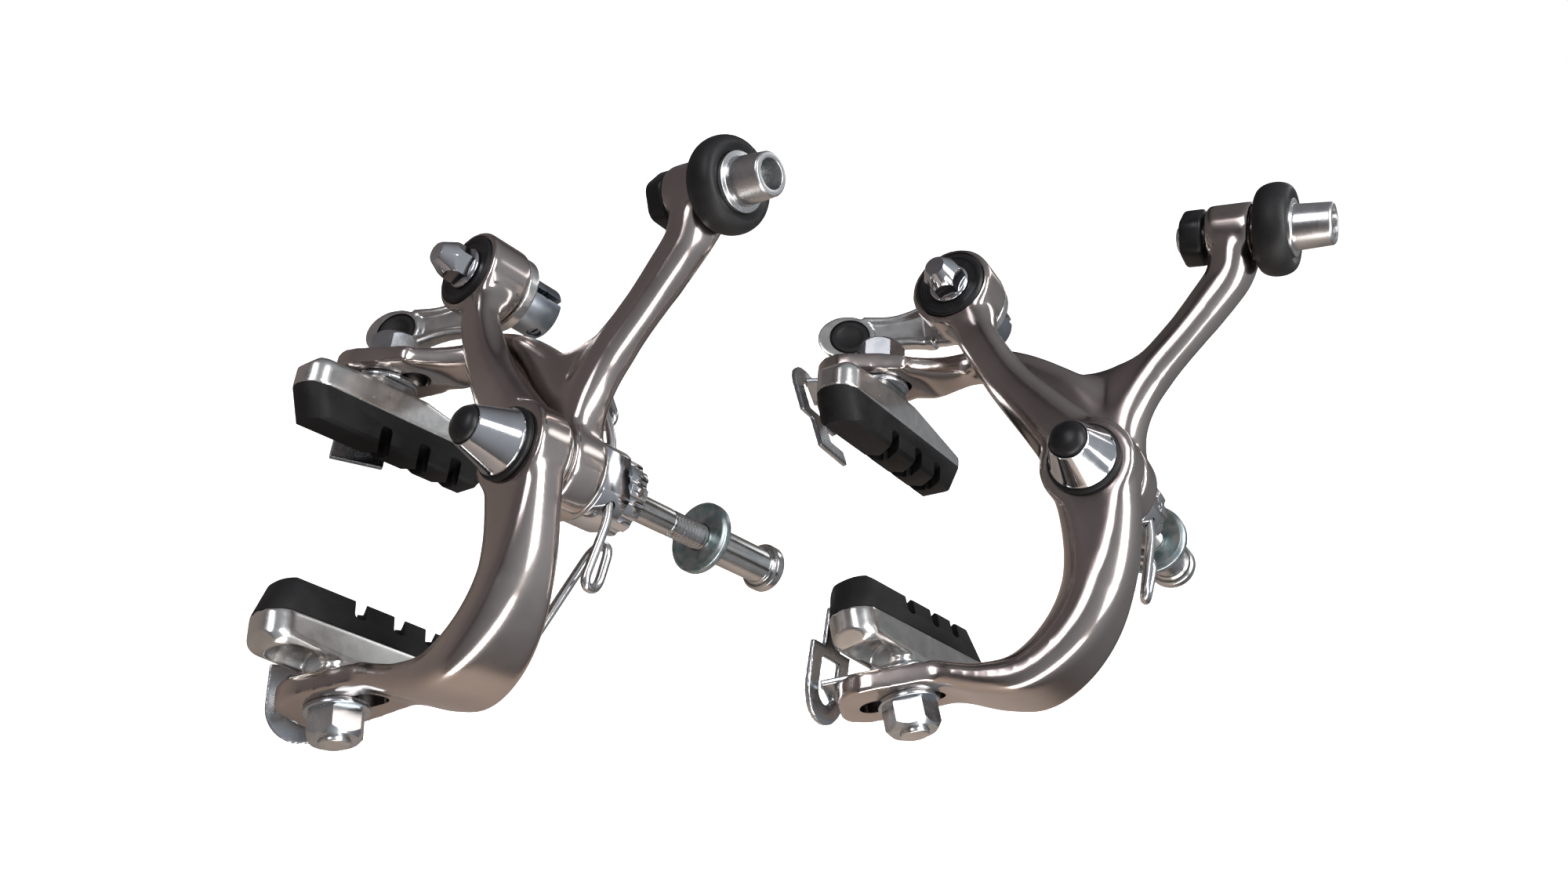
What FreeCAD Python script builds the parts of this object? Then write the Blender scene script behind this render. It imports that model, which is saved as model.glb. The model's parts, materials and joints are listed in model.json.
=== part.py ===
# Pair of single-pivot side-pull caliper brakes for a road bicycle.
# Millimetres. Origin on the front caliper's centre bolt, in the plane of its crown seat.
# +Y runs back along the bolt, +Z is up and +X is to the right as seen from the front.
# The rear caliper has the same pieces on a shorter bolt, and stands behind and above the front one.
import math
import os

import FreeCAD
import Part

V = FreeCAD.Vector
X_AXIS = V(1, 0, 0)
Y_AXIS = V(0, 1, 0)
Z_AXIS = V(0, 0, 1)

# Where the rear caliper stands from the front one
REAR_SHIFT_Y = 79.8
REAR_SHIFT_Z = 77.8
REAR_LEAN = -7.0

# Fits
PIVOT_FIT = 0.05
HUB_PLAY = 0.05
THREAD_FIT = 0.05
SPRING_FIT = 0.15
SLOT_FIT = 0.2
FACE_CLEAR = 0.4
# How far a cutter runs past the solid that it cuts
CUT_PAST = 20.0
# Small eased edges on turned pieces
EASE = 0.5

# Centre bolt and the pieces stacked on it
BOLT_D = 6.0
BOLT_THREAD_IN_CAP = 6.5
BOLT_THREAD_IN_NUT = 13.0
SEAT_NUT_T = 4.5
SEAT_NUT_R = 8.2
SEAT_NUT_TEETH = 12
SEAT_TOOTH_H = 0.9
SEAT_TOOTH_FLANK = 0.27
SPRING_BLOCK_T = 7.5
SPRING_BLOCK_R = 9.0
SPRING_BLOCK_HALF_H = 7.6
PIVOT_WASHER_T = 0.9
PIVOT_WASHER_R = SPRING_BLOCK_R
Y_HUB_T = 8.3
C_HUB_T = 8.0
HUB_R = 10.0
HUB_ROUND = 2.2
HUB_CLEAR = 1.5
CAP_WASHER_T = 1.1
CAP_WASHER_R = 7.7
CAP_NUT_L = 9.0
CAP_NUT_BASE_R = 7.0
CAP_NUT_TIP_R = 4.3
CAP_PLUG_R = 3.8
CAP_PLUG_H = 2.2
CAP_PLUG_DEPTH = 1.6
RECESS_WASHER_R = 8.2
RECESS_WASHER_T = 2.2
RECESS_SLEEVE_R = 4.1
RECESS_HEAD_R = 5.6
RECESS_HEAD_T = 3.2
RECESS_KEY = 5.0
RECESS_KEY_DEPTH = 4.0
# The front caliper passes through a fork crown, the rear one through a thin bridge
FRONT_WASHER_Y = 24.0
FRONT_SLEEVE_L = 19.5
REAR_WASHER_Y = 14.0
REAR_SLEEVE_L = 14.5

# Depth positions down the stack, from the seat to the nose
SEAT_NUT_FRONT = -SEAT_NUT_T
BLOCK_FRONT = SEAT_NUT_FRONT - SPRING_BLOCK_T
REAR_WASHER_FRONT = BLOCK_FRONT - PIVOT_WASHER_T
Y_BACK = REAR_WASHER_FRONT - HUB_PLAY
Y_FRONT = Y_BACK - Y_HUB_T
MID_WASHER_BACK = Y_FRONT - HUB_PLAY
MID_WASHER_FRONT = MID_WASHER_BACK - PIVOT_WASHER_T
C_BACK = MID_WASHER_FRONT - HUB_PLAY
C_FRONT = C_BACK - C_HUB_T
CAP_WASHER_BACK = C_FRONT - HUB_PLAY
CAP_NUT_BACK = CAP_WASHER_BACK - CAP_WASHER_T
CAP_NUT_FRONT = CAP_NUT_BACK - CAP_NUT_L

# Arm sections: how far the front and back corners are rounded, as a share of the smaller side
FRONT_ROUND = 0.47
BACK_ROUND = 0.2

# Foot of each arm: a slotted flat, splayed outwards and raked forwards at its lower end
FOOT_X = 40.2
STUD_Y = -27.0
FOOT_MID_Z = -46.2
FOOT_SPLAY = 7.0
FOOT_RAKE = 20.0
FOOT_T = 4.5
FOOT_W = 20.5
FOOT_NECK_W = 17.0
FOOT_TOP = {"c": 9.5, "y": 8.5}
FOOT_DROP = 13.2
FOOT_CORNER = 8.0
FOOT_EDGE_ROUND = 1.9
SLOT_L = 17.8

# Brake shoe, on the stud through the foot
STUD_D = 6.0
STUD_OUT = 7.7
SHOE_WASHER_R = 6.4
SHOE_WASHER_T = 1.2
SHOE_NUT_AF = 10.0
SHOE_NUT_T = 5.6
SHOE_NUT_EASE = 1.2
PAD_L = 51.0
PAD_H = 10.6
PAD_T = 7.5
PAD_FRONT = -20.5
PAD_NOSE_TAPER = 3.5
PAD_TAIL_TAPER = 5.0
PAD_TAIL_EASE = 0.8
PAD_BEVEL = 2.4
PAD_SLOT_W = 2.2
PAD_SLOT_DEPTH = 4.0
PAD_SLOTS = (0.46, 0.66, 0.83)
HOLDER_T = 6.9
HOLDER_TAIL_T = 2.2
HOLDER_NOSE_SHARE = 0.453
HOLDER_NOSE_R = HOLDER_NOSE_SHARE * PAD_H
HOLDER_SEAT = 1.5
# Rounded front of the holder: distance behind the nose and height, as shares of its thickness
HOLDER_NOSE_LINE = ((0.0, 0.62), (0.32, 0.9), (0.72, 1.0))
POST_HALF = 6.6
SCOOP_R = 4.3
SCOOP_ABOVE = 1.0
SCOOP_WALL = 3.6
GUIDE_T = 1.2
GUIDE_EYE_R = 7.0
GUIDE_LEG_W = 12.0
GUIDE_LEG = 16.6
GUIDE_SLOPE = 19.0
GUIDE_W = 16.0
GUIDE_OUT = 5.8
GUIDE_IN = 9.4
GUIDE_TONGUE = 17.6
GUIDE_TONGUE_W = 6.0
GUIDE_FINGER_W = 4.0
GUIDE_FINGER = 9.0
GUIDE_WINDOW_W = 6.4
GUIDE_WINDOW_L = 8.0
# Height of each shoe's stud above the middle of its slot, and how the shoe and guide are turned on it
SHOE_SEAT = {"front": -2.2, "rear": 1.2}
GUIDE_TURN = {"front": 16.0, "rear": 0.0}
SHOE_TURN = {("front", "c"): -6.0, ("front", "y"): 0.0, ("rear", "c"): 5.0, ("rear", "y"): 5.0}

# Cable end of the front arm: boss, quick release and cable anchor, on one axis along Y
RELEASE_X = -57.0
RELEASE_Z = -25.0
RELEASE_BOSS_R = 10.0
RELEASE_BOSS_FRONT = -25.6
RELEASE_BOSS_T = 9.4
RELEASE_BOSS_ROUND = 1.8
RELEASE_BOLT_R = 2.5
DISC_R = 8.5
DISC_T = 1.8
RELEASE_NUT_AF = 8.0
RELEASE_NUT_FLANGE_R = 5.0
RELEASE_NUT_FLANGE_T = 1.0
RELEASE_NUT_L = 3.6
RELEASE_NUT_NOSE_L = 3.6
RELEASE_NUT_NOSE_R = 2.7
LEVER_T = 2.8
LEVER_HUB_R = 9.4
LEVER_WAIST = 8.0
LEVER_WAIST_AT = 0.57
# Where the shank leaves the hub and meets the end, as shares of their radii across and down
LEVER_LEAVES = (0.86, 0.5)
LEVER_MEETS = (0.9, 0.44)
LEVER_END_R = 6.3
LEVER_END_X = 3.0
LEVER_END_DROP = 29.0
LEVER_END_FORWARD = 8.5
LEVER_BEND_DROP = 12.0
BUTTON_R = 4.9
BUTTON_PROUD = 0.7
ANCHOR_R = 6.6
ANCHOR_L = 9.5
ANCHOR_SLOT_W = 1.6
ANCHOR_SLOT_DEPTH = 3.0
ANCHOR_CABLE_R = 1.0
ANCHOR_SCREW_R = 1.7
ANCHOR_SCREW_IN = 0.8

# Adjuster on the rear arm, leaning across in the plane of the arms
ADJUSTER_X = -50.1
ADJUSTER_Y = -17.6
ADJUSTER_Z = 37.2
ADJUSTER_LEAN = 17.0
ADJUSTER_BOSS_R = 6.6
ADJUSTER_BOSS_L = 9.6
BARREL_THREAD_D = 7.0
BARREL_TAIL = 7.6
COLLAR_R = 6.0
COLLAR_L = 7.2
FERRULE_BASE_R = 4.3
FERRULE_TIP_R = 3.8
FERRULE_L = 7.8
HOUSING_R = 2.6
HOUSING_DEPTH = 8.0
CABLE_R = 1.0
KNOB_R = 10.0
KNOB_T = 7.0
KNOB_ROUND = 3.0
KNOB_FIT = 0.1
LOCK_NUT_AF = 11.6
LOCK_NUT_T = 4.8
# How far the knob and the lock nut stand off the boss
KNOB_OUT = {"front": 0.3, "rear": 0.9}
LOCK_NUT_OUT = {"front": 0.05, "rear": 0.6}

# Return spring: one wire through the block, bent down behind both arms and hooked at its ends
WIRE_D = 2.2
WIRE_BLOCK_Y = -8.3
WIRE_BEND_R = 4.0
WIRE_ABOVE_BOLT = 1.3
WIRE_PAST_BLOCK = 0.5
# Corners of the wire on the right, after it leaves the block: x, back from the block's hole, z
WIRE_RUN = (
    (23.5, -2.2, 1.8),
    (23.2, 1.0, 1.2),
    (14.2, 1.6, 4.2),
    (13.6, 1.4, 1.0),
    (30.5, -1.4, -9.5),
)

# Arm stations: x, z, width across the arm, front and back offsets from the hub's faces.
# A positive front offset reaches forward, and a positive back offset reaches back.
C_LIMB = (
    (0.0, 0.0, 18.6, 0.0, 0.0),
    (9.5, -0.2, 16.2, 0.2, 0.7),
    (19.5, -2.5, 14.0, 0.9, 2.7),
    (28.0, -7.2, 12.0, 1.7, 5.2),
    (34.5, -13.6, 10.0, 2.2, 7.4),
    (38.7, -21.0, 7.8, 2.5, 8.7),
    (38.9, -28.5, 5.8, 3.0, 8.6),
    (37.3, -36.0, 5.0, 2.8, 7.6),
    (37.9, -43.0, 3.2, 2.0, 4.2),
)
C_CABLE_LIMB = (
    (0.0, 0.0, 18.6, 0.0, 0.0),
    (-7.0, -3.4, 14.8, 0.0, 0.0),
    (-14.0, -7.5, 12.5, -0.3, 0.0),
    (-26.5, -14.7, 10.0, -1.0, 0.0),
    (-40.0, -20.3, 9.2, -2.2, 0.0),
    (-45.5, -21.9, 10.4, -3.0, 1.4),
    (-51.0, -23.4, 13.0, -3.9, 5.0),
)
Y_STEM = (
    (-2.0, 1.0, 16.0, -0.3, -0.3),
    (-12.0, 4.8, 11.5, -0.3, -0.3),
    (-21.0, 11.6, 9.2, -0.3, -0.3),
    (-30.6, 23.2, 8.6, -0.3, -0.4),
    (-38.8, 32.4, 9.0, -0.4, -0.5),
    (-46.0, 36.6, 9.2, 0.9, 0.7),
)
Y_LIMB = (
    (0.0, 0.0, 18.0, -0.3, -0.3),
    (-9.5, -0.4, 16.0, -0.3, -0.3),
    (-19.5, -2.8, 13.8, -0.3, -0.3),
    (-28.0, -7.4, 11.8, -0.3, -0.3),
    (-34.5, -13.7, 9.8, -0.3, -0.2),
    (-38.7, -21.0, 7.8, -0.3, 0.0),
    (-39.3, -26.8, 6.4, 0.2, 0.1),
    (-38.5, -31.4, 5.6, 4.2, -0.2),
    (-37.3, -36.8, 4.8, 10.4, -1.2),
    (-37.9, -43.4, 3.2, 11.2, -5.0),
)
# Web in the crotch of the rear arm, thinner than the arm
Y_WEB_FRONT_SET = 1.8
Y_WEB_BACK_SET = 0.6
Y_WEB_TOP = (-36.0, 27.0)
Y_WEB_MIDDLE = (-27.8, 4.0)
Y_WEB_BOTTOM = (-36.0, -14.0)


def cylinder(radius, y0, y1, x=0.0, z=0.0):
    """Round bar along Y."""
    return Part.makeCylinder(radius, y1 - y0, V(x, y0, z), Y_AXIS)


def tube(outer, inner, y0, y1, x=0.0, z=0.0):
    """Round bar along Y with a bore."""
    return cylinder(outer, y0, y1, x, z).cut(cylinder(inner, y0, y1, x, z))


def turned(outline, x=0.0, z=0.0):
    """Solid turned about a line along Y from (radius, y) points."""
    points = [V(r, y, 0) for r, y in outline]
    face = Part.Face(Part.makePolygon(points + points[:1]))
    solid = face.revolve(V(0, 0, 0), Y_AXIS, 360)
    solid.translate(V(x, 0, z))
    return solid


def hex_bar(flats, y0, y1, x=0.0, z=0.0):
    """Hexagonal bar along Y with corners up and down."""
    corner = flats / math.sqrt(3)
    ring = [V(x + corner * math.sin(math.radians(60 * i)), y0, z + corner * math.cos(math.radians(60 * i)))
            for i in range(6)]
    return Part.Face(Part.makePolygon(ring + ring[:1])).extrude(V(0, y1 - y0, 0))


def round_edges(solid, radius, chosen):
    """Fillet the edges that the test picks."""
    edges = [edge for edge in solid.Edges if chosen(edge)]
    return solid.makeFillet(radius, edges)


def circle_at(y, radius):
    """Test for a full circle of that radius in the plane y."""
    def test(edge):
        curve = edge.Curve
        return (isinstance(curve, Part.Circle) and abs(curve.Radius - radius) < 1e-3
                and abs(edge.BoundBox.YMin - y) < 1e-3 and abs(edge.BoundBox.YMax - y) < 1e-3)
    return test


def section(centre, across, deep, width, depth):
    """Closed D-shaped wire: full round at the front corners, small round at the back ones."""
    front = FRONT_ROUND * min(width, depth)
    back = BACK_ROUND * min(width, depth)
    half = width / 2
    near = -depth / 2
    far = depth / 2

    def at(u, v):
        return centre + across * u + deep * v

    def corner(u, v, radius, first):
        """Quarter round at a corner, from the side to the end or from the end to the side."""
        ease = radius * (1 - math.sqrt(0.5))
        in_u = math.copysign(1, -u)
        in_v = math.copysign(1, -v)
        side = at(u, v + in_v * radius)
        end = at(u + in_u * radius, v)
        middle = at(u + in_u * ease, v + in_v * ease)
        return Part.Arc(side, middle, end).toShape() if first else Part.Arc(end, middle, side).toShape()

    edges = [
        Part.makeLine(at(-half, far - back), at(-half, near + front)),
        corner(-half, near, front, True),
        Part.makeLine(at(-half + front, near), at(half - front, near)),
        corner(half, near, front, False),
        Part.makeLine(at(half, near + front), at(half, far - back)),
        corner(half, far, back, True),
        Part.makeLine(at(half - back, far), at(-half + back, far)),
        corner(-half, far, back, False),
    ]
    return Part.Wire(edges)


def station_wires(stations, front_y, back_y):
    """Cross-sections square to the path through the stations."""
    wires = []
    for i, (x, z, width, forward, backward) in enumerate(stations):
        before = stations[max(i - 1, 0)]
        after = stations[min(i + 1, len(stations) - 1)]
        heading = V(after[0] - before[0], 0, after[1] - before[1]).normalize()
        across = V(-heading.z, 0, heading.x)
        near = front_y - forward
        far = back_y + backward
        wires.append(section(V(x, (near + far) / 2, z), across, Y_AXIS, width, far - near))
    return wires


def foot_frame():
    """Placement of the right foot: x out of its outer face, y back, z up its slot."""
    turn = FreeCAD.Rotation(Y_AXIS, -FOOT_SPLAY).multiply(FreeCAD.Rotation(X_AXIS, -FOOT_RAKE))
    return FreeCAD.Placement(V(FOOT_X, STUD_Y, FOOT_MID_Z), turn)


def in_foot_frame(shape, side):
    """Carry a shape from the foot's frame to the caliper, on the right or mirrored to the left."""
    placed = shape.copy()
    placed.Placement = foot_frame().multiply(placed.Placement)
    if side == "y":
        placed = placed.mirror(V(0, 0, 0), X_AXIS)
    return placed


def foot_plate(side):
    """Flat with a round lower end and eased front edges, in the foot's frame."""
    half = FOOT_W / 2
    neck = FOOT_NECK_W / 2
    top = FOOT_TOP[side]
    low = -FOOT_DROP
    side = low + FOOT_CORNER
    ease = FOOT_CORNER * (1 - math.sqrt(0.5))
    corner = half - FOOT_CORNER
    outline = [
        Part.makeLine(V(0, neck, top), V(0, half, side)),
        Part.Arc(V(0, half, side), V(0, half - ease, low + ease), V(0, corner, low)).toShape(),
        Part.makeLine(V(0, corner, low), V(0, -corner, low)),
        Part.Arc(V(0, -corner, low), V(0, ease - half, low + ease), V(0, -half, side)).toShape(),
        Part.makeLine(V(0, -half, side), V(0, -neck, top)),
        Part.makeLine(V(0, -neck, top), V(0, neck, top)),
    ]
    plate = Part.Face(Part.Wire(outline)).extrude(V(-FOOT_T, 0, 0))

    def front_edge(edge):
        box = edge.BoundBox
        return box.XLength < 1e-6 and box.YMax < 1e-6 - neck / 2 and box.ZLength > FOOT_CORNER
    return round_edges(plate, FOOT_EDGE_ROUND, front_edge)


def slot_bar(radius, x0, x1):
    """Bar along x as wide as twice the radius, running the length of the stud's travel."""
    run = SLOT_L / 2 - STUD_D / 2 - SLOT_FIT
    ends = [Part.makeCylinder(radius, x1 - x0, V(x0, 0, z), X_AXIS) for z in (-run, run)]
    block = Part.makeBox(x1 - x0, 2 * radius, 2 * run, V(x0, -radius, -run))
    return block.fuse(ends)


def stud_slot():
    """Slot cutter through the foot, in the foot's frame."""
    return slot_bar(STUD_D / 2 + SLOT_FIT, -CUT_PAST, CUT_PAST)


def stud_faces():
    """Cutters that keep both flats clear for the washer and the guide, in the foot's frame."""
    outer = slot_bar(SHOE_WASHER_R + FACE_CLEAR, 0, FOOT_T)
    inner = slot_bar(GUIDE_EYE_R + FACE_CLEAR, -2 * FOOT_T, -FOOT_T)
    return outer.fuse(inner)


def hub(front_y, back_y):
    """Pivot hub with an eased front rim."""
    solid = cylinder(HUB_R, front_y, back_y)
    return round_edges(solid, HUB_ROUND, circle_at(front_y, HUB_R))


def make_c_arm():
    """Front arm: one forging from the cable boss over the pivot to the right foot."""
    limb = Part.makeLoft(station_wires(C_LIMB, C_FRONT, C_BACK), True, False)
    cable_limb = Part.makeLoft(station_wires(C_CABLE_LIMB, C_FRONT, C_BACK), True, False)
    boss_back = RELEASE_BOSS_FRONT + RELEASE_BOSS_T
    boss = cylinder(RELEASE_BOSS_R, RELEASE_BOSS_FRONT, boss_back, RELEASE_X, RELEASE_Z)
    boss = round_edges(boss, RELEASE_BOSS_ROUND, circle_at(RELEASE_BOSS_FRONT, RELEASE_BOSS_R))
    arm = hub(C_FRONT, C_BACK).fuse([limb, cable_limb, boss, in_foot_frame(foot_plate("c"), "c")])
    x, z = RELEASE_X, RELEASE_Z
    cutters = [
        cylinder(BOLT_D / 2 + PIVOT_FIT, C_FRONT - CUT_PAST, C_BACK + CUT_PAST),
        cylinder(RELEASE_BOLT_R + PIVOT_FIT, RELEASE_BOSS_FRONT - CUT_PAST, boss_back + CUT_PAST, x, z),
        cylinder(CAP_WASHER_R + HUB_CLEAR, C_FRONT - CUT_PAST, C_FRONT),
        cylinder(RELEASE_BOSS_R, RELEASE_BOSS_FRONT - CUT_PAST, RELEASE_BOSS_FRONT, x, z),
        cylinder(HUB_R + HUB_CLEAR, C_BACK, C_BACK + CUT_PAST),
        cylinder(RELEASE_BOSS_R, boss_back, boss_back + CUT_PAST, x, z),
        in_foot_frame(stud_slot(), "c"),
        in_foot_frame(stud_faces(), "c"),
    ]
    return arm.cut(cutters).removeSplitter()


def lean_adjuster(shape):
    """Carry a shape from its own upright axis to the leaning adjuster axis."""
    placed = shape.copy()
    turn = FreeCAD.Rotation(Y_AXIS, ADJUSTER_LEAN)
    where = FreeCAD.Placement(V(ADJUSTER_X, ADJUSTER_Y, ADJUSTER_Z), turn)
    placed.Placement = where.multiply(placed.Placement)
    return placed


def upright(shape):
    """Turn a shape made along Y so that its +Y end points up."""
    placed = shape.copy()
    where = FreeCAD.Placement(V(0, 0, 0), FreeCAD.Rotation(X_AXIS, 90))
    placed.Placement = where.multiply(placed.Placement)
    return placed


def make_y_arm():
    """Rear arm: stem up to the adjuster boss, limb down to the left foot, thin web between."""
    limb = Part.makeLoft(station_wires(Y_LIMB, Y_FRONT, Y_BACK), True, False)
    stem = Part.makeLoft(station_wires(Y_STEM, Y_FRONT, Y_BACK), True, False)
    half = ADJUSTER_BOSS_L / 2
    boss = lean_adjuster(upright(cylinder(ADJUSTER_BOSS_R, -half, half)))
    near = Y_FRONT + Y_WEB_FRONT_SET
    edge = Part.Arc(V(Y_WEB_TOP[0], near, Y_WEB_TOP[1]), V(Y_WEB_MIDDLE[0], near, Y_WEB_MIDDLE[1]),
                    V(Y_WEB_BOTTOM[0], near, Y_WEB_BOTTOM[1])).toShape()
    back_to_hub = [
        Part.makeLine(V(Y_WEB_BOTTOM[0], near, Y_WEB_BOTTOM[1]), V(0, near, 0)),
        Part.makeLine(V(0, near, 0), V(Y_WEB_TOP[0], near, Y_WEB_TOP[1])),
    ]
    web = Part.Face(Part.Wire([edge] + back_to_hub)).extrude(V(0, Y_BACK - Y_WEB_BACK_SET - near, 0))
    arm = hub(Y_FRONT, Y_BACK).fuse([limb, stem, boss, web, in_foot_frame(foot_plate("y"), "y")])
    thread = BARREL_THREAD_D / 2 + THREAD_FIT
    flank = ADJUSTER_BOSS_R + HUB_CLEAR
    cutters = [
        cylinder(BOLT_D / 2 + PIVOT_FIT, Y_FRONT - CUT_PAST, Y_BACK + CUT_PAST),
        cylinder(HUB_R + HUB_CLEAR, Y_BACK, Y_BACK + CUT_PAST),
        cylinder(HUB_R + HUB_CLEAR, Y_FRONT - CUT_PAST, Y_FRONT),
        lean_adjuster(upright(cylinder(thread, -CUT_PAST, CUT_PAST))),
        lean_adjuster(upright(cylinder(flank, half, half + CUT_PAST))),
        lean_adjuster(upright(cylinder(flank, -half - CUT_PAST, -half))),
        in_foot_frame(stud_slot(), "y"),
        in_foot_frame(stud_faces(), "y"),
    ]
    return arm.cut(cutters).removeSplitter()


def make_centre_bolt(washer_y, sleeve_l):
    """Plain shank from the cap nut to the recess nut, with eased ends."""
    radius = BOLT_D / 2
    front = CAP_NUT_BACK - BOLT_THREAD_IN_CAP
    back = washer_y + RECESS_WASHER_T + min(BOLT_THREAD_IN_NUT, sleeve_l - RECESS_KEY_DEPTH)
    return turned([(0, front), (radius - EASE, front), (radius, front + EASE), (radius, back - EASE),
                   (radius - EASE, back), (0, back)])


def make_cap_nut():
    """Tapered nose nut, bored blind for the bolt and open at the tip for the plug."""
    taper = turned([(0, CAP_NUT_BACK), (CAP_NUT_BASE_R, CAP_NUT_BACK), (CAP_NUT_BASE_R, CAP_NUT_BACK - EASE),
                    (CAP_NUT_TIP_R, CAP_NUT_FRONT), (0, CAP_NUT_FRONT)])
    bore = cylinder(BOLT_D / 2 + THREAD_FIT, CAP_NUT_BACK - BOLT_THREAD_IN_CAP - EASE, CAP_NUT_BACK)
    seat = cylinder(CAP_PLUG_R + THREAD_FIT, CAP_NUT_FRONT, CAP_NUT_FRONT + CAP_PLUG_DEPTH)
    return taper.cut([bore, seat])


def make_cap_plug():
    """Domed plug pressed in the nose."""
    back = CAP_NUT_FRONT + CAP_PLUG_DEPTH
    stem = cylinder(CAP_PLUG_R, CAP_NUT_FRONT, back)
    ball = (CAP_PLUG_R ** 2 + CAP_PLUG_H ** 2) / (2 * CAP_PLUG_H)
    dome = Part.makeSphere(ball, V(0, CAP_NUT_FRONT - CAP_PLUG_H + ball, 0))
    dome = dome.common(cylinder(ball, CAP_NUT_FRONT - CAP_PLUG_H - 1, CAP_NUT_FRONT))
    return stem.fuse(dome).removeSplitter()


def make_pivot_washers():
    """Two thin washers, behind and in front of the rear arm's hub."""
    bore = BOLT_D / 2 + PIVOT_FIT
    spans = ((REAR_WASHER_FRONT, BLOCK_FRONT), (MID_WASHER_FRONT, MID_WASHER_BACK))
    return Part.makeCompound([tube(PIVOT_WASHER_R, bore, y0, y1) for y0, y1 in spans])


def make_spring_block():
    """Round block with flats above and below and a cross hole for the spring wire."""
    body = cylinder(SPRING_BLOCK_R, BLOCK_FRONT, SEAT_NUT_FRONT)
    flats = Part.makeBox(2 * SPRING_BLOCK_R, SPRING_BLOCK_T, 2 * SPRING_BLOCK_HALF_H,
                         V(-SPRING_BLOCK_R, BLOCK_FRONT, -SPRING_BLOCK_HALF_H))
    hole = Part.makeCylinder(WIRE_D / 2 + SPRING_FIT, 4 * SPRING_BLOCK_R,
                             V(-2 * SPRING_BLOCK_R, WIRE_BLOCK_Y, wire_height()), X_AXIS)
    return body.common(flats).cut([cylinder(BOLT_D / 2 + THREAD_FIT, BLOCK_FRONT, SEAT_NUT_FRONT), hole])


def wire_height():
    """Height of the spring wire in its block, clear above the bolt."""
    return BOLT_D / 2 + WIRE_D / 2 + WIRE_ABOVE_BOLT


def rounded_path(points, radius):
    """Straight runs joined by tangent arcs."""
    edges = []
    start = points[0]
    for corner, after in zip(points[1:-1], points[2:]):
        back = (start - corner).normalize()
        ahead = (after - corner).normalize()
        half = back.getAngle(ahead) / 2
        reach = min(radius / math.tan(half), 0.45 * (after - corner).Length, 0.9 * (start - corner).Length)
        bend = reach * math.tan(half)
        inward = (back + ahead).normalize()
        middle = corner + inward * (bend / math.sin(half) - bend)
        first = corner + back * reach
        last = corner + ahead * reach
        edges.append(Part.makeLine(start, first))
        edges.append(Part.Arc(first, middle, last).toShape())
        start = last
    edges.append(Part.makeLine(start, points[-1]))
    return Part.Wire(edges)


def make_return_spring():
    """One wire: across the block, doubled back behind each arm, then down to the arm's shoulder."""
    right = [V(SPRING_BLOCK_R + WIRE_PAST_BLOCK, WIRE_BLOCK_Y, wire_height())]
    right += [V(x, WIRE_BLOCK_Y + back, z) for x, back, z in WIRE_RUN]
    left = [V(-p.x, p.y, p.z) for p in right]
    path = rounded_path(left[::-1] + right, WIRE_BEND_R)
    first = path.Edges[0]
    tangent = first.tangentAt(first.FirstParameter)
    profile = Part.Wire([Part.makeCircle(WIRE_D / 2, left[-1], tangent)])
    return path.makePipeShell([profile], True, False)


def make_seat_nut():
    """Toothed nut that clamps the block and bears on the fork or the bridge."""
    rim = []
    count = 2 * SEAT_NUT_TEETH
    for i in range(count):
        radius = SEAT_NUT_R - SEAT_TOOTH_H * (i % 2)
        for share in (SEAT_TOOTH_FLANK, 1 - SEAT_TOOTH_FLANK):
            angle = 2 * math.pi * (i + share) / count
            rim.append(V(radius * math.cos(angle), SEAT_NUT_FRONT, radius * math.sin(angle)))
    solid = Part.Face(Part.makePolygon(rim + rim[:1])).extrude(V(0, SEAT_NUT_T, 0))
    return solid.cut(cylinder(BOLT_D / 2 + THREAD_FIT, SEAT_NUT_FRONT, 0))


def make_recess_washer(washer_y):
    """Thick washer with a hollow front face that takes the round of the frame tube."""
    back = washer_y + RECESS_WASHER_T
    bore = BOLT_D / 2 + THREAD_FIT
    rim = RECESS_WASHER_R
    return turned([(bore, washer_y + EASE), (rim - 2 * EASE, washer_y), (rim, washer_y + EASE), (rim, back),
                   (bore, back)])


def make_recess_nut(washer_y, sleeve_l):
    """Sleeve nut with a round head and a hexagon socket."""
    front = washer_y + RECESS_WASHER_T
    head = front + sleeve_l
    back = head + RECESS_HEAD_T
    rim = RECESS_HEAD_R
    body = turned([(0, front), (RECESS_SLEEVE_R, front), (RECESS_SLEEVE_R, head), (rim - EASE, head),
                   (rim, head + EASE), (rim, back - EASE), (rim - EASE, back), (0, back)])
    bore = cylinder(BOLT_D / 2 + THREAD_FIT, front, back - RECESS_KEY_DEPTH - EASE)
    return body.cut([bore, hex_bar(RECESS_KEY, back - RECESS_KEY_DEPTH, back)])


def shoe_stud_shape():
    """Stud of the shoe holder, along x in the foot's frame."""
    inner = HOLDER_BACK - HOLDER_SEAT
    return Part.makeCylinder(STUD_D / 2, STUD_OUT - inner, V(inner, 0, 0), X_AXIS)


HOLDER_BACK = -FOOT_T - GUIDE_T
PAD_SEAT = HOLDER_BACK - HOLDER_SEAT - HOLDER_T


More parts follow.
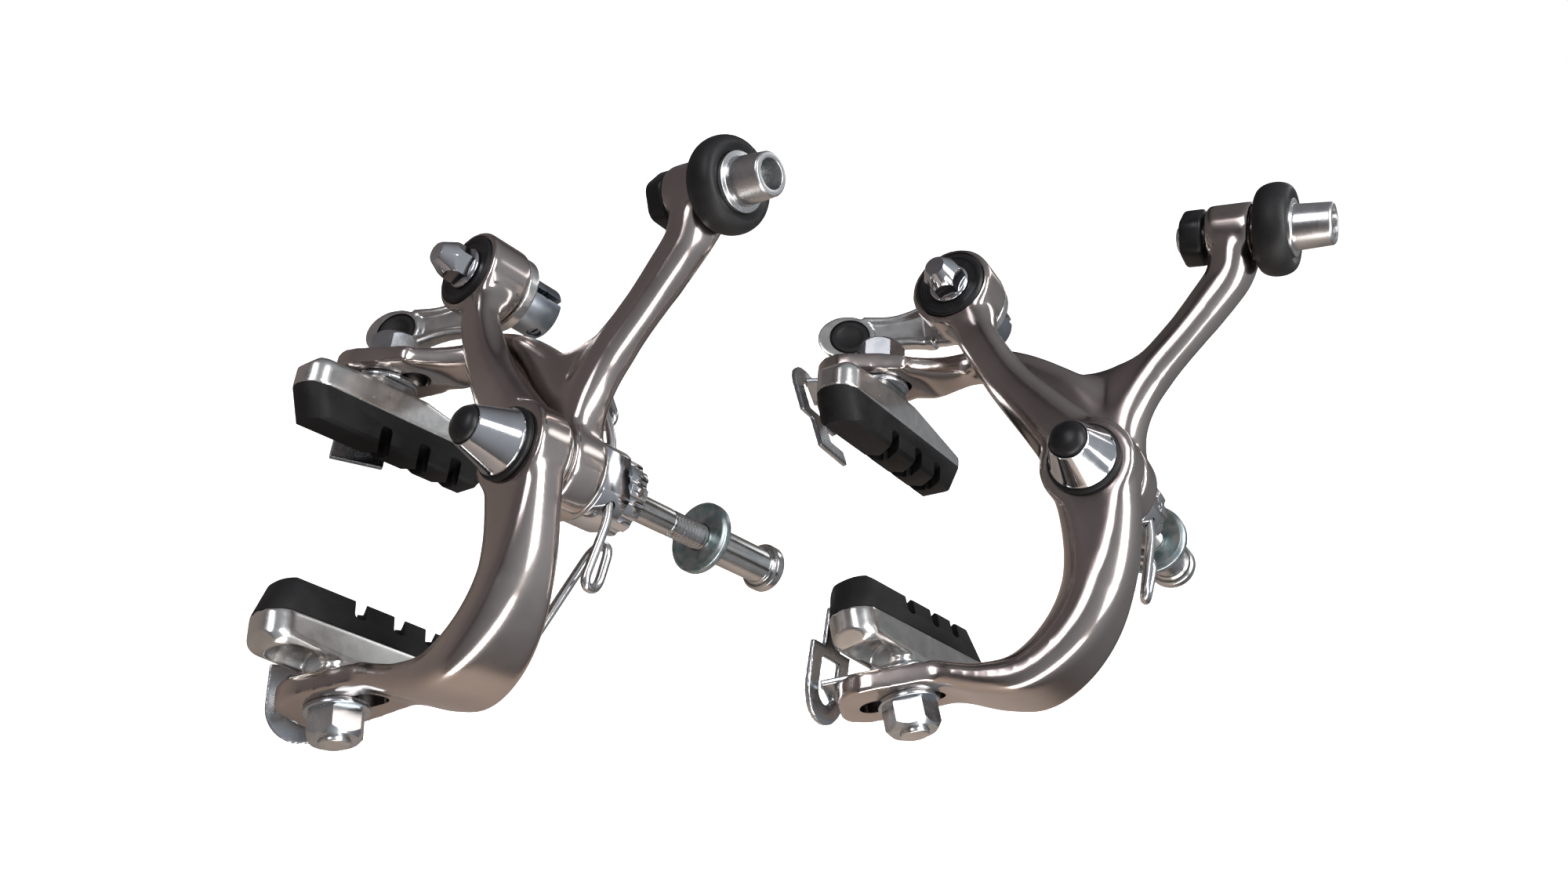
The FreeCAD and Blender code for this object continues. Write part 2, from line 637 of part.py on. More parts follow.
def pad_outline(x):
    """Wire round the pad at depth x: round nose in front, squarer tail behind."""
    half = PAD_H / 2
    nose = PAD_FRONT + HOLDER_NOSE_R
    tail = PAD_FRONT + PAD_L
    ease = HOLDER_NOSE_R * (1 - math.sqrt(0.5))
    flat = half - HOLDER_NOSE_R
    end = half - PAD_TAIL_EASE
    edges = [
        Part.makeLine(V(x, nose, -half), V(x, tail, -end)),
        Part.makeLine(V(x, tail, -end), V(x, tail, end)),
        Part.makeLine(V(x, tail, end), V(x, nose, half)),
        Part.Arc(V(x, nose, half), V(x, PAD_FRONT + ease, half - ease), V(x, PAD_FRONT, flat)).toShape(),
        Part.makeLine(V(x, PAD_FRONT, flat), V(x, PAD_FRONT, -flat)),
        Part.Arc(V(x, PAD_FRONT, -flat), V(x, PAD_FRONT + ease, ease - half), V(x, nose, -half)).toShape(),
    ]
    return Part.Wire(edges)


def shoe_holder_shape():
    """Cast holder: deep rounded nose with a scooped back, post to the arm, thinning tail."""
    tail = PAD_FRONT + PAD_L
    post = HOLDER_BACK - PAD_SEAT
    plan = [(PAD_FRONT, 0)]
    plan += [(PAD_FRONT + along * HOLDER_T, up * HOLDER_T) for along, up in HOLDER_NOSE_LINE]
    plan += [
        (-POST_HALF - HOLDER_SEAT, HOLDER_T), (-POST_HALF, post), (POST_HALF, post),
        (POST_HALF + HOLDER_SEAT, HOLDER_T), (tail, HOLDER_TAIL_T), (tail, 0),
    ]
    low = -PAD_H
    points = [V(PAD_SEAT + depth, y, low) for y, depth in plan]
    side = Part.Face(Part.makePolygon(points + points[:1])).extrude(V(0, 0, 2 * PAD_H))
    block = Part.Face(pad_outline(PAD_SEAT)).extrude(V(HOLDER_BACK - PAD_SEAT, 0, 0))
    body = block.common(side)
    scoop_x = PAD_SEAT + HOLDER_T + SCOOP_ABOVE
    scoop_front = PAD_FRONT + SCOOP_WALL + SCOOP_R
    scoop_back = -POST_HALF - SCOOP_ABOVE
    bowl = Part.makeSphere(SCOOP_R, V(scoop_x, scoop_front, 0))
    trough = Part.makeCylinder(SCOOP_R, scoop_back - scoop_front, V(scoop_x, scoop_front, 0), Y_AXIS)
    body = body.cut([bowl, trough])
    return body.fuse(shoe_stud_shape()).removeSplitter()


def pad_shape():
    """Rubber block with drawn-in ends, bevelled lower edge and cross slots in the braking face."""
    half = PAD_H / 2
    face = PAD_SEAT - PAD_T
    tail = PAD_FRONT + PAD_L
    block = Part.Face(pad_outline(PAD_SEAT)).extrude(V(-PAD_T, 0, 0))
    low = -PAD_H
    plan = [V(PAD_SEAT, PAD_FRONT, low), V(PAD_SEAT, tail, low), V(face, tail - PAD_TAIL_TAPER, low),
            V(face, PAD_FRONT + PAD_NOSE_TAPER, low)]
    block = block.common(Part.Face(Part.makePolygon(plan + plan[:1])).extrude(V(0, 0, 2 * PAD_H)))
    wedge = [V(face, PAD_FRONT, -half), V(face + PAD_BEVEL, PAD_FRONT, -half),
             V(face, PAD_FRONT, -half + PAD_BEVEL)]
    cutters = [Part.Face(Part.makePolygon(wedge + wedge[:1])).extrude(V(0, PAD_L, 0))]
    for share in PAD_SLOTS:
        front = PAD_FRONT + share * PAD_L - PAD_SLOT_W / 2
        cutters.append(Part.makeBox(PAD_SLOT_DEPTH, PAD_SLOT_W, 2 * PAD_H, V(face, front, low)))
    return block.cut(cutters)


def shoe_washer_shape():
    """Flat washer under the shoe nut."""
    disc = Part.makeCylinder(SHOE_WASHER_R, SHOE_WASHER_T, V(0, 0, 0), X_AXIS)
    return disc.cut(Part.makeCylinder(STUD_D / 2 + THREAD_FIT, SHOE_WASHER_T, V(0, 0, 0), X_AXIS))


def shoe_nut_shape():
    """Hexagon nut with an eased outer face."""
    bar = hex_bar(SHOE_NUT_AF, 0, SHOE_NUT_T)
    corner = SHOE_NUT_AF / math.sqrt(3)
    side = SHOE_NUT_T - SHOE_NUT_EASE
    ease = turned([(0, 0), (corner, 0), (corner, side), (corner - SHOE_NUT_EASE, SHOE_NUT_T),
                   (0, SHOE_NUT_T)])
    nut = bar.common(ease).cut(cylinder(STUD_D / 2 + THREAD_FIT, 0, SHOE_NUT_T))
    nut.Placement = FreeCAD.Placement(V(SHOE_WASHER_T, 0, 0), FreeCAD.Rotation(Z_AXIS, -90))
    return nut


def sheet(profile, width, thickness):
    """Bent sheet: mitred strip along (x, z) points, spread evenly in y."""
    left = []
    right = []
    for i, (x, z) in enumerate(profile):
        before = profile[max(i - 1, 0)]
        after = profile[min(i + 1, len(profile) - 1)]
        into = V(x - before[0], 0, z - before[1]) if i else V(after[0] - x, 0, after[1] - z)
        out = V(after[0] - x, 0, after[1] - z) if i < len(profile) - 1 else into
        into = into.normalize()
        out = out.normalize()
        normal = V(-into.z - out.z, 0, into.x + out.x).normalize()
        stretch = thickness / 2 / max(normal.dot(V(-into.z, 0, into.x)), 0.3)
        left.append(V(x, -width / 2, z) + normal * stretch)
        right.append(V(x, -width / 2, z) - normal * stretch)
    ring = left + right[::-1]
    return Part.Face(Part.makePolygon(ring + ring[:1])).extrude(V(0, width, 0))


def stadium(start, end, width, thickness):
    """Flat bar along x with a full round at its far end, centred on z = 0."""
    radius = width / 2
    bar = Part.makeBox(end - radius - start, width, thickness, V(start, -radius, -thickness / 2))
    return bar.fuse(Part.makeCylinder(radius, thickness, V(end - radius, 0, -thickness / 2), Z_AXIS))


def wheel_guide_shape():
    """Pressed sheet: eye and leg on the stud, sloped tongue under the shoe, window and turned finger."""
    inner = -FOOT_T - GUIDE_T
    eye = Part.makeCylinder(GUIDE_EYE_R, GUIDE_T, V(inner, 0, 0), X_AXIS)
    leg = Part.makeBox(GUIDE_T, GUIDE_LEG_W, GUIDE_LEG, V(inner, -GUIDE_LEG_W / 2, -GUIDE_LEG))
    window_end = GUIDE_OUT - (GUIDE_W - GUIDE_WINDOW_W) / 2
    plate = stadium(-GUIDE_IN, GUIDE_OUT, GUIDE_W, GUIDE_T)
    plate = plate.cut(stadium(window_end - GUIDE_WINDOW_L, window_end, GUIDE_WINDOW_W, 4 * GUIDE_T))
    tongue = Part.makeBox(GUIDE_TONGUE - GUIDE_IN, GUIDE_TONGUE_W, GUIDE_T,
                          V(-GUIDE_TONGUE, -GUIDE_TONGUE_W / 2, -GUIDE_T / 2))
    finger = Part.makeBox(GUIDE_FINGER_W, GUIDE_FINGER, GUIDE_T, V(-GUIDE_TONGUE, 0, -GUIDE_T / 2))
    flat = plate.fuse([tongue, finger])
    slope = FreeCAD.Rotation(Y_AXIS, GUIDE_SLOPE)
    level = FreeCAD.Rotation(X_AXIS, FOOT_RAKE)
    flat.Placement = FreeCAD.Placement(V(inner + GUIDE_T / 2, 0, -GUIDE_LEG), level.multiply(slope))
    hole = Part.makeCylinder(STUD_D / 2 + SLOT_FIT, 4 * GUIDE_T, V(inner - GUIDE_T, 0, 0), X_AXIS)
    return eye.fuse([leg, flat]).cut(hole).removeSplitter()


def make_shoe(which, side):
    """Holder, pad, washer, nut and wheel guide of one arm."""
    turn = FreeCAD.Rotation(X_AXIS, FOOT_RAKE + SHOE_TURN[(which, side)])
    seat = FreeCAD.Placement(V(0, 0, SHOE_SEAT[which]), turn)
    plain = FreeCAD.Placement(V(0, 0, SHOE_SEAT[which]), FreeCAD.Rotation())
    hung = FreeCAD.Placement(V(0, 0, SHOE_SEAT[which]), FreeCAD.Rotation(X_AXIS, GUIDE_TURN[which]))
    pieces = {
        "shoe_holder": (shoe_holder_shape(), seat),
        "pad": (pad_shape(), seat),
        "shoe_washer": (shoe_washer_shape(), plain),
        "shoe_nut": (shoe_nut_shape(), plain),
        "wheel_guide": (wheel_guide_shape(), hung),
    }
    done = {}
    for name, (shape, where) in pieces.items():
        shape.Placement = where.multiply(shape.Placement)
        done[side + "_" + name] = in_foot_frame(shape, side)
    return done


RELEASE_BOSS_BACK = RELEASE_BOSS_FRONT + RELEASE_BOSS_T
LEVER_FRONT = RELEASE_BOSS_BACK + HUB_PLAY
LEVER_BACK = LEVER_FRONT + LEVER_T
DISC_FRONT = RELEASE_BOSS_FRONT - HUB_PLAY - DISC_T


def make_release_lever():
    """Stamped lever: round hub behind the boss, waisted shank that comes forward, round end."""
    sheet_y = LEVER_FRONT + LEVER_T / 2
    slope = LEVER_END_FORWARD / (LEVER_END_DROP - LEVER_BEND_DROP)
    tip = LEVER_END_DROP + LEVER_END_R
    side = [(sheet_y, LEVER_HUB_R), (sheet_y, -LEVER_BEND_DROP),
            (sheet_y - LEVER_END_FORWARD, -LEVER_END_DROP),
            (sheet_y - LEVER_END_FORWARD - LEVER_END_R * slope, -tip)]
    width = 3 * LEVER_HUB_R
    strip = sheet(side, width, LEVER_T)
    strip.Placement = FreeCAD.Placement(V(0, 0, 0), FreeCAD.Rotation(Z_AXIS, 90))
    strip = strip.mirror(V(0, 0, 0), X_AXIS)
    strip = strip.copy()
    end = V(LEVER_END_X, 0, -LEVER_END_DROP)
    waist = end * LEVER_WAIST_AT
    reach = 3 * CUT_PAST
    discs = [cylinder(LEVER_HUB_R, -reach, reach), cylinder(LEVER_END_R, -reach, reach, end.x, end.z)]
    half = LEVER_WAIST / 2
    shank = []
    for sign in (-1, 1):
        shank.append(Part.BSplineCurve())
        top = V(sign * LEVER_LEAVES[0], 0, -LEVER_LEAVES[1]) * LEVER_HUB_R
        low = end + V(sign * LEVER_MEETS[0], 0, LEVER_MEETS[1]) * LEVER_END_R
        shank[-1].interpolate([top, waist + V(sign * half, 0, 0), low])
    left, right = (curve.toShape() for curve in shank)
    sides = [left, Part.makeLine(left.Vertexes[-1].Point, right.Vertexes[-1].Point), right,
             Part.makeLine(right.Vertexes[0].Point, left.Vertexes[0].Point)]
    plate = Part.Face(Part.Wire(Part.__sortEdges__(sides)))
    outline = plate.extrude(V(0, 2 * reach, 0))
    outline.translate(V(0, -reach, 0))
    lever = strip.common(outline.fuse(discs))
    lever = lever.cut(cylinder(RELEASE_BOLT_R + PIVOT_FIT, -reach, reach))
    lever.translate(V(RELEASE_X, 0, RELEASE_Z))
    return lever.cut(through_lever_end(cylinder(BUTTON_R + KNOB_FIT, -LEVER_HUB_R, LEVER_HUB_R)))


def through_lever_end(shape):
    """Carry a shape made along Y to the lever's end, square to its sloping sheet."""
    slope = math.degrees(math.atan2(LEVER_END_FORWARD, LEVER_END_DROP - LEVER_BEND_DROP))
    middle = LEVER_FRONT + LEVER_T / 2 - LEVER_END_FORWARD
    end = V(RELEASE_X + LEVER_END_X, middle, RELEASE_Z - LEVER_END_DROP)
    placed = shape.copy()
    placed.Placement = FreeCAD.Placement(end, FreeCAD.Rotation(X_AXIS, -slope)).multiply(placed.Placement)
    return placed


def make_lever_button():
    """Soft button through the lever's end, proud on both faces."""
    half = LEVER_T / 2 + BUTTON_PROUD
    body = cylinder(BUTTON_R, -half, half)
    body = round_edges(body, BUTTON_PROUD, lambda edge: isinstance(edge.Curve, Part.Circle))
    return through_lever_end(body)


def make_release_disc():
    """Plain washer disc with a raised rim between the boss and the nut."""
    x, z = RELEASE_X, RELEASE_Z
    back = DISC_FRONT + DISC_T
    floor = DISC_FRONT + EASE / 2
    bore = RELEASE_BOLT_R + PIVOT_FIT
    return turned([(bore, floor), (DISC_R - 3 * EASE, floor), (DISC_R - 2.5 * EASE, DISC_FRONT),
                   (DISC_R - EASE, DISC_FRONT), (DISC_R, DISC_FRONT + EASE), (DISC_R, back),
                   (bore, back)], x, z)


def make_release_nut():
    """Flanged nut with a hexagon that tapers to a round nose."""
    x, z = RELEASE_X, RELEASE_Z
    back = DISC_FRONT + EASE / 2
    flange = back - RELEASE_NUT_FLANGE_T
    shoulder = flange - RELEASE_NUT_L
    nose = shoulder - RELEASE_NUT_NOSE_L
    corner = RELEASE_NUT_AF / math.sqrt(3)
    rim = RELEASE_NUT_FLANGE_R
    base = turned([(0, flange), (rim - EASE, flange), (rim, back), (0, back)], x, z)
    taper = turned([(0, nose), (RELEASE_NUT_NOSE_R - EASE, nose), (RELEASE_NUT_NOSE_R, nose + EASE),
                    (corner, shoulder), (corner + EASE, flange), (0, flange)], x, z)
    body = hex_bar(RELEASE_NUT_AF, nose, flange, x, z).common(taper).fuse(base)
    return body.cut(cylinder(RELEASE_BOLT_R + THREAD_FIT, shoulder, back, x, z)).removeSplitter()


def make_cable_anchor():
    """Anchor drum behind the lever with its bolt, a slit, a cable hole and a small grub screw."""
    x, z = RELEASE_X, RELEASE_Z
    front = LEVER_BACK + HUB_PLAY
    back = front + ANCHOR_L
    middle = (front + back) / 2
    drum = cylinder(ANCHOR_R, front, back, x, z)
    drum = round_edges(drum, EASE, circle_at(back, ANCHOR_R))
    nose = DISC_FRONT + EASE - RELEASE_NUT_FLANGE_T - RELEASE_NUT_L
    bolt = cylinder(RELEASE_BOLT_R, nose, front, x, z)
    slit = Part.makeBox(ANCHOR_SLOT_W, ANCHOR_L, ANCHOR_SLOT_DEPTH,
                        V(x - ANCHOR_SLOT_W / 2, front, z + ANCHOR_R - ANCHOR_SLOT_DEPTH))
    cable = Part.makeCylinder(ANCHOR_CABLE_R, 4 * ANCHOR_R, V(x, middle, z - 2 * ANCHOR_R), Z_AXIS)
    floor = x + ANCHOR_R - ANCHOR_SCREW_IN
    pocket = Part.makeCylinder(ANCHOR_SCREW_R, ANCHOR_R, V(floor, middle, z), X_AXIS)
    return drum.fuse(bolt).cut([slit, cable, pocket]).removeSplitter()


def adjuster_piece(shape, out):
    """Seat a piece made along its own axis on the adjuster, standing off by a distance."""
    lifted = upright(shape)
    lifted.translate(V(0, 0, out))
    return lean_adjuster(lifted)


def make_adjuster_barrel(which):
    """Screwed barrel with a collar for the knob and a tapered, hollow ferrule."""
    foot = ADJUSTER_BOSS_L / 2
    thread = BARREL_THREAD_D / 2
    top = foot + COLLAR_L
    tip = top + FERRULE_L
    low = -foot - BARREL_TAIL
    body = turned([(0, low), (thread - EASE, low), (thread, low + EASE), (thread, foot), (COLLAR_R, foot),
                   (COLLAR_R, top), (FERRULE_BASE_R, top), (FERRULE_TIP_R, tip), (0, tip)])
    socket = cylinder(HOUSING_R, tip - HOUSING_DEPTH, tip)
    cable = cylinder(CABLE_R, low, tip)
    return adjuster_piece(body.cut([socket, cable]), KNOB_OUT[which])


def make_adjuster_knob(which):
    """Rubber ring pressed on the collar, round in section."""
    low = ADJUSTER_BOSS_L / 2 - KNOB_FIT
    ring = tube(KNOB_R, COLLAR_R + KNOB_FIT, low, low + KNOB_T)
    ring = round_edges(ring, KNOB_ROUND, lambda edge: isinstance(edge.Curve, Part.Circle)
                       and abs(edge.Curve.Radius - KNOB_R) < 1e-3 and edge.BoundBox.YLength < 1e-3)
    return adjuster_piece(ring, KNOB_OUT[which])


def make_lock_nut(which):
    """Thin nut on the barrel below the boss, with rounded corners."""
    top = -ADJUSTER_BOSS_L / 2
    low = top - LOCK_NUT_T
    corner = LOCK_NUT_AF / math.sqrt(3)
    rim = corner - EASE / 2
    ease = turned([(0, low), (rim - EASE, low), (rim, low + 3 * EASE), (rim, top - 3 * EASE),
                   (rim - EASE, top), (0, top)])
    nut = hex_bar(LOCK_NUT_AF, low, top).common(ease)
    nut = nut.cut(cylinder(BARREL_THREAD_D / 2 + THREAD_FIT, low, top))
    return adjuster_piece(nut, -LOCK_NUT_OUT[which])


def caliper(which):
    """Every piece of one caliper, in its own frame."""
    washer_y = {"front": FRONT_WASHER_Y, "rear": REAR_WASHER_Y}[which]
    sleeve_l = {"front": FRONT_SLEEVE_L, "rear": REAR_SLEEVE_L}[which]
    pieces = {
        "c_arm": make_c_arm(),
        "y_arm": make_y_arm(),
        "centre_bolt": make_centre_bolt(washer_y, sleeve_l),
        "cap_nut": make_cap_nut(),
        "cap_plug": make_cap_plug(),
        "cap_washer": tube(CAP_WASHER_R, BOLT_D / 2 + PIVOT_FIT, CAP_NUT_BACK, CAP_WASHER_BACK),
        "pivot_washers": make_pivot_washers(),
        "spring_block": make_spring_block(),
        "return_spring": make_return_spring(),
        "seat_nut": make_seat_nut(),
        "recess_washer": make_recess_washer(washer_y),
        "recess_nut": make_recess_nut(washer_y, sleeve_l),
        "release_lever": make_release_lever(),
        "lever_button": make_lever_button(),
        "release_disc": make_release_disc(),
        "release_nut": make_release_nut(),
        "cable_anchor": make_cable_anchor(),
        "adjuster_barrel": make_adjuster_barrel(which),
        "adjuster_knob": make_adjuster_knob(which),
        "lock_nut": make_lock_nut(which),
    }
    for side in ("c", "y"):
        pieces.update(make_shoe(which, side))
    return pieces


REAR_PLACE = FreeCAD.Placement(V(0, REAR_SHIFT_Y, REAR_SHIFT_Z), FreeCAD.Rotation(X_AXIS, REAR_LEAN))

os.makedirs("parts", exist_ok=True)
for which, where in (("front", FreeCAD.Placement()), ("rear", REAR_PLACE)):
    for name, shape in caliper(which).items():
        placed = shape.copy()
        placed.Placement = where.multiply(placed.Placement)
        placed.exportStep(f"parts/{which}_{name}.step")
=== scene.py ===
# %% [markdown]
# A pair of side-pull caliper brakes for a road bicycle. The exact solids come in from model.glb, and this
# lesson dresses them: the polished arms, the shoes and the small hardware are modelled again with soft edges,
# and every surface gets a finish. Lengths are in millimetres until a piece is done, and then become metres.

# %% Load the solids
import json
import math

import bmesh
import bpy
from mathutils import Matrix, Vector


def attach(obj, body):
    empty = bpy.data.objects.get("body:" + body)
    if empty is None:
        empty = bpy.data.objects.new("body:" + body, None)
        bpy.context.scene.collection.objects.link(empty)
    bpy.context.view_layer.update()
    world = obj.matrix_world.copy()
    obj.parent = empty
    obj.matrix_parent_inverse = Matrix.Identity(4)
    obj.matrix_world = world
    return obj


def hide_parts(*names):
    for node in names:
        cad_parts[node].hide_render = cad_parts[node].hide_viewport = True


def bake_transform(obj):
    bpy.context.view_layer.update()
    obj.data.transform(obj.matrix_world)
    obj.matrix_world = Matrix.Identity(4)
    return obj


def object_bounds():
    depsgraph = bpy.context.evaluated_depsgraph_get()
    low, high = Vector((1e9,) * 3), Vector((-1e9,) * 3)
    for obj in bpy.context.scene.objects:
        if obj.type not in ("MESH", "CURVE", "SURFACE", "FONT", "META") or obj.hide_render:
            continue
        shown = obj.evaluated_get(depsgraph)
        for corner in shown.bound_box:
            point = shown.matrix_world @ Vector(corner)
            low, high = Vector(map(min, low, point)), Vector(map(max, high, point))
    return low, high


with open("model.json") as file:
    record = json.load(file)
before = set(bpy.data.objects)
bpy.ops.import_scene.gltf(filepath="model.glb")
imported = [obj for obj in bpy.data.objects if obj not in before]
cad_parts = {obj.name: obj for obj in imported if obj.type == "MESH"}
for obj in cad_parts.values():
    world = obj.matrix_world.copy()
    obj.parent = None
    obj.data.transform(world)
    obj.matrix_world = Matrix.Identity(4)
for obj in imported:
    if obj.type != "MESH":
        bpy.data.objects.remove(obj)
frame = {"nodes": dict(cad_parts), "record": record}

CAD_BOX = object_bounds()
print("solids loaded:", len(frame["nodes"]))

# %% [markdown]
# Both calipers have the same pieces. Each piece is made on the front caliper, with the bolt along Y, and the
# rear one is the same piece carried back, up and tipped a little. Keeping the place in the mesh, with the
# object at the origin, lets a finish that reads Object coordinates stay where it is.

# %% Where the two calipers stand
MM = 0.001


def shift(x, y, z):
    return Matrix.Translation((x, y, z))


def rotation(degrees, axis):
    return Matrix.Rotation(math.radians(degrees), 4, axis)


PLACES = {
    "front": Matrix.Identity(4),
    "rear": shift(0, 79.8, 77.8) @ rotation(-7, "X"),
}
print("calipers:", list(PLACES))

# %% [markdown]
# The camera looks down from above and to one side, close to the brakes, and it is rolled almost onto its
# side. A roll like that is easiest to set from three directions: where the lens looks, what is right in the
# picture, and what is up. They are the columns of the camera's matrix.

# %% Camera
CAMERA_PLACE = (0.1162, -0.1564, 0.1619)
look = Vector((-0.501, 0.690, -0.523)).normalized()
right = Vector((0.032, 0.618, 0.785))
right = (right - look * right.dot(look)).normalized()
up = right.cross(look)
camera_data = bpy.data.cameras.new("camera")
camera_data.sensor_width = 36
camera_data.lens = 27.61
camera_data.clip_start = 0.01
camera = bpy.data.objects.new("camera", camera_data)
camera.matrix_world = Matrix.Translation(CAMERA_PLACE) @ Matrix((right, up, -look)).transposed().to_4x4()
bpy.context.scene.collection.objects.link(camera)
bpy.context.scene.camera = camera
bpy.context.scene.view_settings.view_transform = "Standard"
print("camera lens", camera_data.lens)

# %% [markdown]
# The sky, the floor and the finishes are all small networks of nodes. A few helpers keep them short: set a
# node's numbers, add a node, fade between two colours, and show the camera one thing and mirrors another.

# %% Node helpers
def set_inputs(node, values):
    for label, value in values.items():
        node.inputs[label].default_value = value
    return node


def add_node(tree, kind, values=None, operation=None):
    node = tree.nodes.new("ShaderNode" + kind)
    if operation:
        node.operation = operation
    return set_inputs(node, values or {})


def fade(tree, value, low, high, start=0, end=1):
    """Colour that goes from low to high as the value goes from start to end."""
    ramp = add_node(tree, "ValToRGB")
    for element, position, colour in zip(ramp.color_ramp.elements, (start, end), (low, high)):
        element.position = position
        element.color = (*colour, 1)
    tree.links.new(value, ramp.inputs["Fac"])
    return ramp.outputs["Color"]


def seen_as(tree, mirrored, seen):
    """Shader that mirrors and lamps meet in one way and the camera sees in another."""
    path = add_node(tree, "LightPath")
    mix = add_node(tree, "MixShader")
    tree.links.new(path.outputs["Is Camera Ray"], mix.inputs["Fac"])
    tree.links.new(mirrored.outputs[0], mix.inputs[1])
    tree.links.new(seen.outputs[0], mix.inputs[2])
    return mix.outputs[0]


print("node helpers ready")

# %% [markdown]
# Polished metal shows the room more than its own colour, so the light is a set of large soft boxes with
# darker gaps between them. The sky is a plain gradient: bright above, dim at the sides. The camera itself
# sees it pale.

# %% Sky and soft boxes
def set_world():
    world = bpy.data.worlds.new("studio")
    world.use_nodes = True
    tree = world.node_tree
    tree.nodes.clear()
    coords = add_node(tree, "TexCoord")
    split = add_node(tree, "SeparateXYZ")
    height = add_node(tree, "MapRange", {"From Min": -1})
    sky = add_node(tree, "Background")
    pale = add_node(tree, "Background", {"Color": (1, 1, 1, 1)})
    out = add_node(tree, "OutputWorld")
    tree.links.new(coords.outputs["Generated"], split.inputs[0])
    tree.links.new(split.outputs["Z"], height.inputs["Value"])
    tone = fade(tree, height.outputs["Result"], (0.10, 0.09, 0.088), (0.42, 0.44, 0.47), 0.45, 0.98)
    tree.links.new(tone, sky.inputs["Color"])
    tree.links.new(seen_as(tree, sky, pale), out.inputs["Surface"])
    bpy.context.scene.world = world


def soft_box(name, place, width, height, power, colour=(1, 1, 1)):
    data = bpy.data.lights.new(name, "AREA")
    data.shape = "RECTANGLE"
    data.size = width
    data.size_y = height
    data.energy = power
    data.color = colour
    lamp = bpy.data.objects.new(name, data)
    lamp.location = place
    lamp.rotation_euler = (MIDDLE - Vector(place)).to_track_quat("-Z", "Y").to_euler()
    bpy.context.scene.collection.objects.link(lamp)


MIDDLE = Vector((-0.01, 0.03, 0.03))
set_world()
soft_box("overhead", (0.05, -0.05, 0.75), 0.8, 0.30, 6)
soft_box("right_window", (0.75, 0.05, 0.30), 0.25, 0.8, 5, (1.0, 0.98, 0.95))
soft_box("front_fill", (-0.20, -0.75, 0.25), 0.5, 0.25, 2.2, (0.97, 0.93, 0.97))
soft_box("behind", (-0.55, 0.60, 0.45), 0.12, 0.7, 0.6)
print("soft boxes set")

# %% [markdown]
# The brakes stand on a plain pale floor at their lowest point. Polished metal mirrors the floor, and pure
# white would wash it out, so the mirror sees a brown bench top with painted light on it: dark in front and
# lighter towards the window. Only the camera sees the pale sheet.

# %% Floor
FLOOR_GAP = 0.0005
FLOOR_REACH = 0.13


def make_paper():
    paper = bpy.data.materials.new("pale_floor")
    paper.use_nodes = True
    tree = paper.node_tree
    sheet = set_inputs(tree.nodes["Principled BSDF"], {
        "Base Color": (0.86, 0.86, 0.86, 1), "Roughness": 0.9,
        "Emission Color": (1, 1, 1, 1), "Emission Strength": 1.0,
    })
    coords = add_node(tree, "TexCoord")
    towards = add_node(tree, "VectorMath", {1: (0.7, 0.7, 0)}, "DOT_PRODUCT")
    along = add_node(tree, "MapRange", {"From Min": -FLOOR_REACH, "From Max": FLOOR_REACH})
    bench_top_painted_light = add_node(tree, "BsdfDiffuse")
    tree.links.new(coords.outputs["Object"], towards.inputs[0])
    tree.links.new(towards.outputs["Value"], along.inputs["Value"])
    # Painted light: the brown bench colour runs from dark in front to light towards the window, standing in
    # for the window's light.
    tone = fade(tree, along.outputs["Result"], (0.105, 0.095, 0.096), (0.36, 0.30, 0.26))
    tree.links.new(tone, bench_top_painted_light.inputs["Color"])
    tree.links.new(seen_as(tree, bench_top_painted_light, sheet), tree.nodes["Material Output"].inputs["Surface"])
    return paper


floor_mesh = bmesh.new()
bmesh.ops.create_grid(floor_mesh, x_segments=1, y_segments=1, size=6)
bmesh.ops.translate(floor_mesh, verts=floor_mesh.verts, vec=(0, 0, CAD_BOX[0][2] - FLOOR_GAP))
floor_data = bpy.data.meshes.new("floor")
floor_mesh.to_mesh(floor_data)
floor_mesh.free()
floor_data.materials.append(make_paper())
floor = bpy.data.objects.new("floor", floor_data)
bpy.context.scene.collection.objects.link(floor)
print("floor at", round(CAD_BOX[0][2], 4))

# %% [markdown]
# Finishes share a few effects, so each effect is a node group made once: a fine grain, broad smudges from
# handling, and rubbed edges. They read Object coordinates in metres, so a scale of 1000 is a pattern about a
# millimetre across. The groups put out masks, and the shader stays in each material.

# %% Shared effects
def new_group(name, values):
    """Node group with numbers going in and one mask coming out."""
    group = bpy.data.node_groups.new(name, "ShaderNodeTree")
    for label, value in values.items():
        socket = group.interface.new_socket(label, in_out="INPUT", socket_type="NodeSocketFloat")
        socket.default_value = value
    group.interface.new_socket("Mask", in_out="OUTPUT", socket_type="NodeSocketFloat")
    return group, group.nodes.new("NodeGroupInput"), group.nodes.new("NodeGroupOutput")


def object_noise(group, enter, values):
    """Noise on Object coordinates, at the scale that comes in."""
    coords = add_node(group, "TexCoord")
    noise = add_node(group, "TexNoise", values)
    group.links.new(coords.outputs["Object"], noise.inputs["Vector"])
    group.links.new(enter.outputs["Scale"], noise.inputs["Scale"])
    return noise.outputs["Fac"]


def make_grain():
    group, enter, leave = new_group("fine_grain", {"Scale": 1500})
    noise = object_noise(group, enter, {"Detail": 4, "Roughness": 0.6})
    group.links.new(noise, leave.inputs["Mask"])
    return group


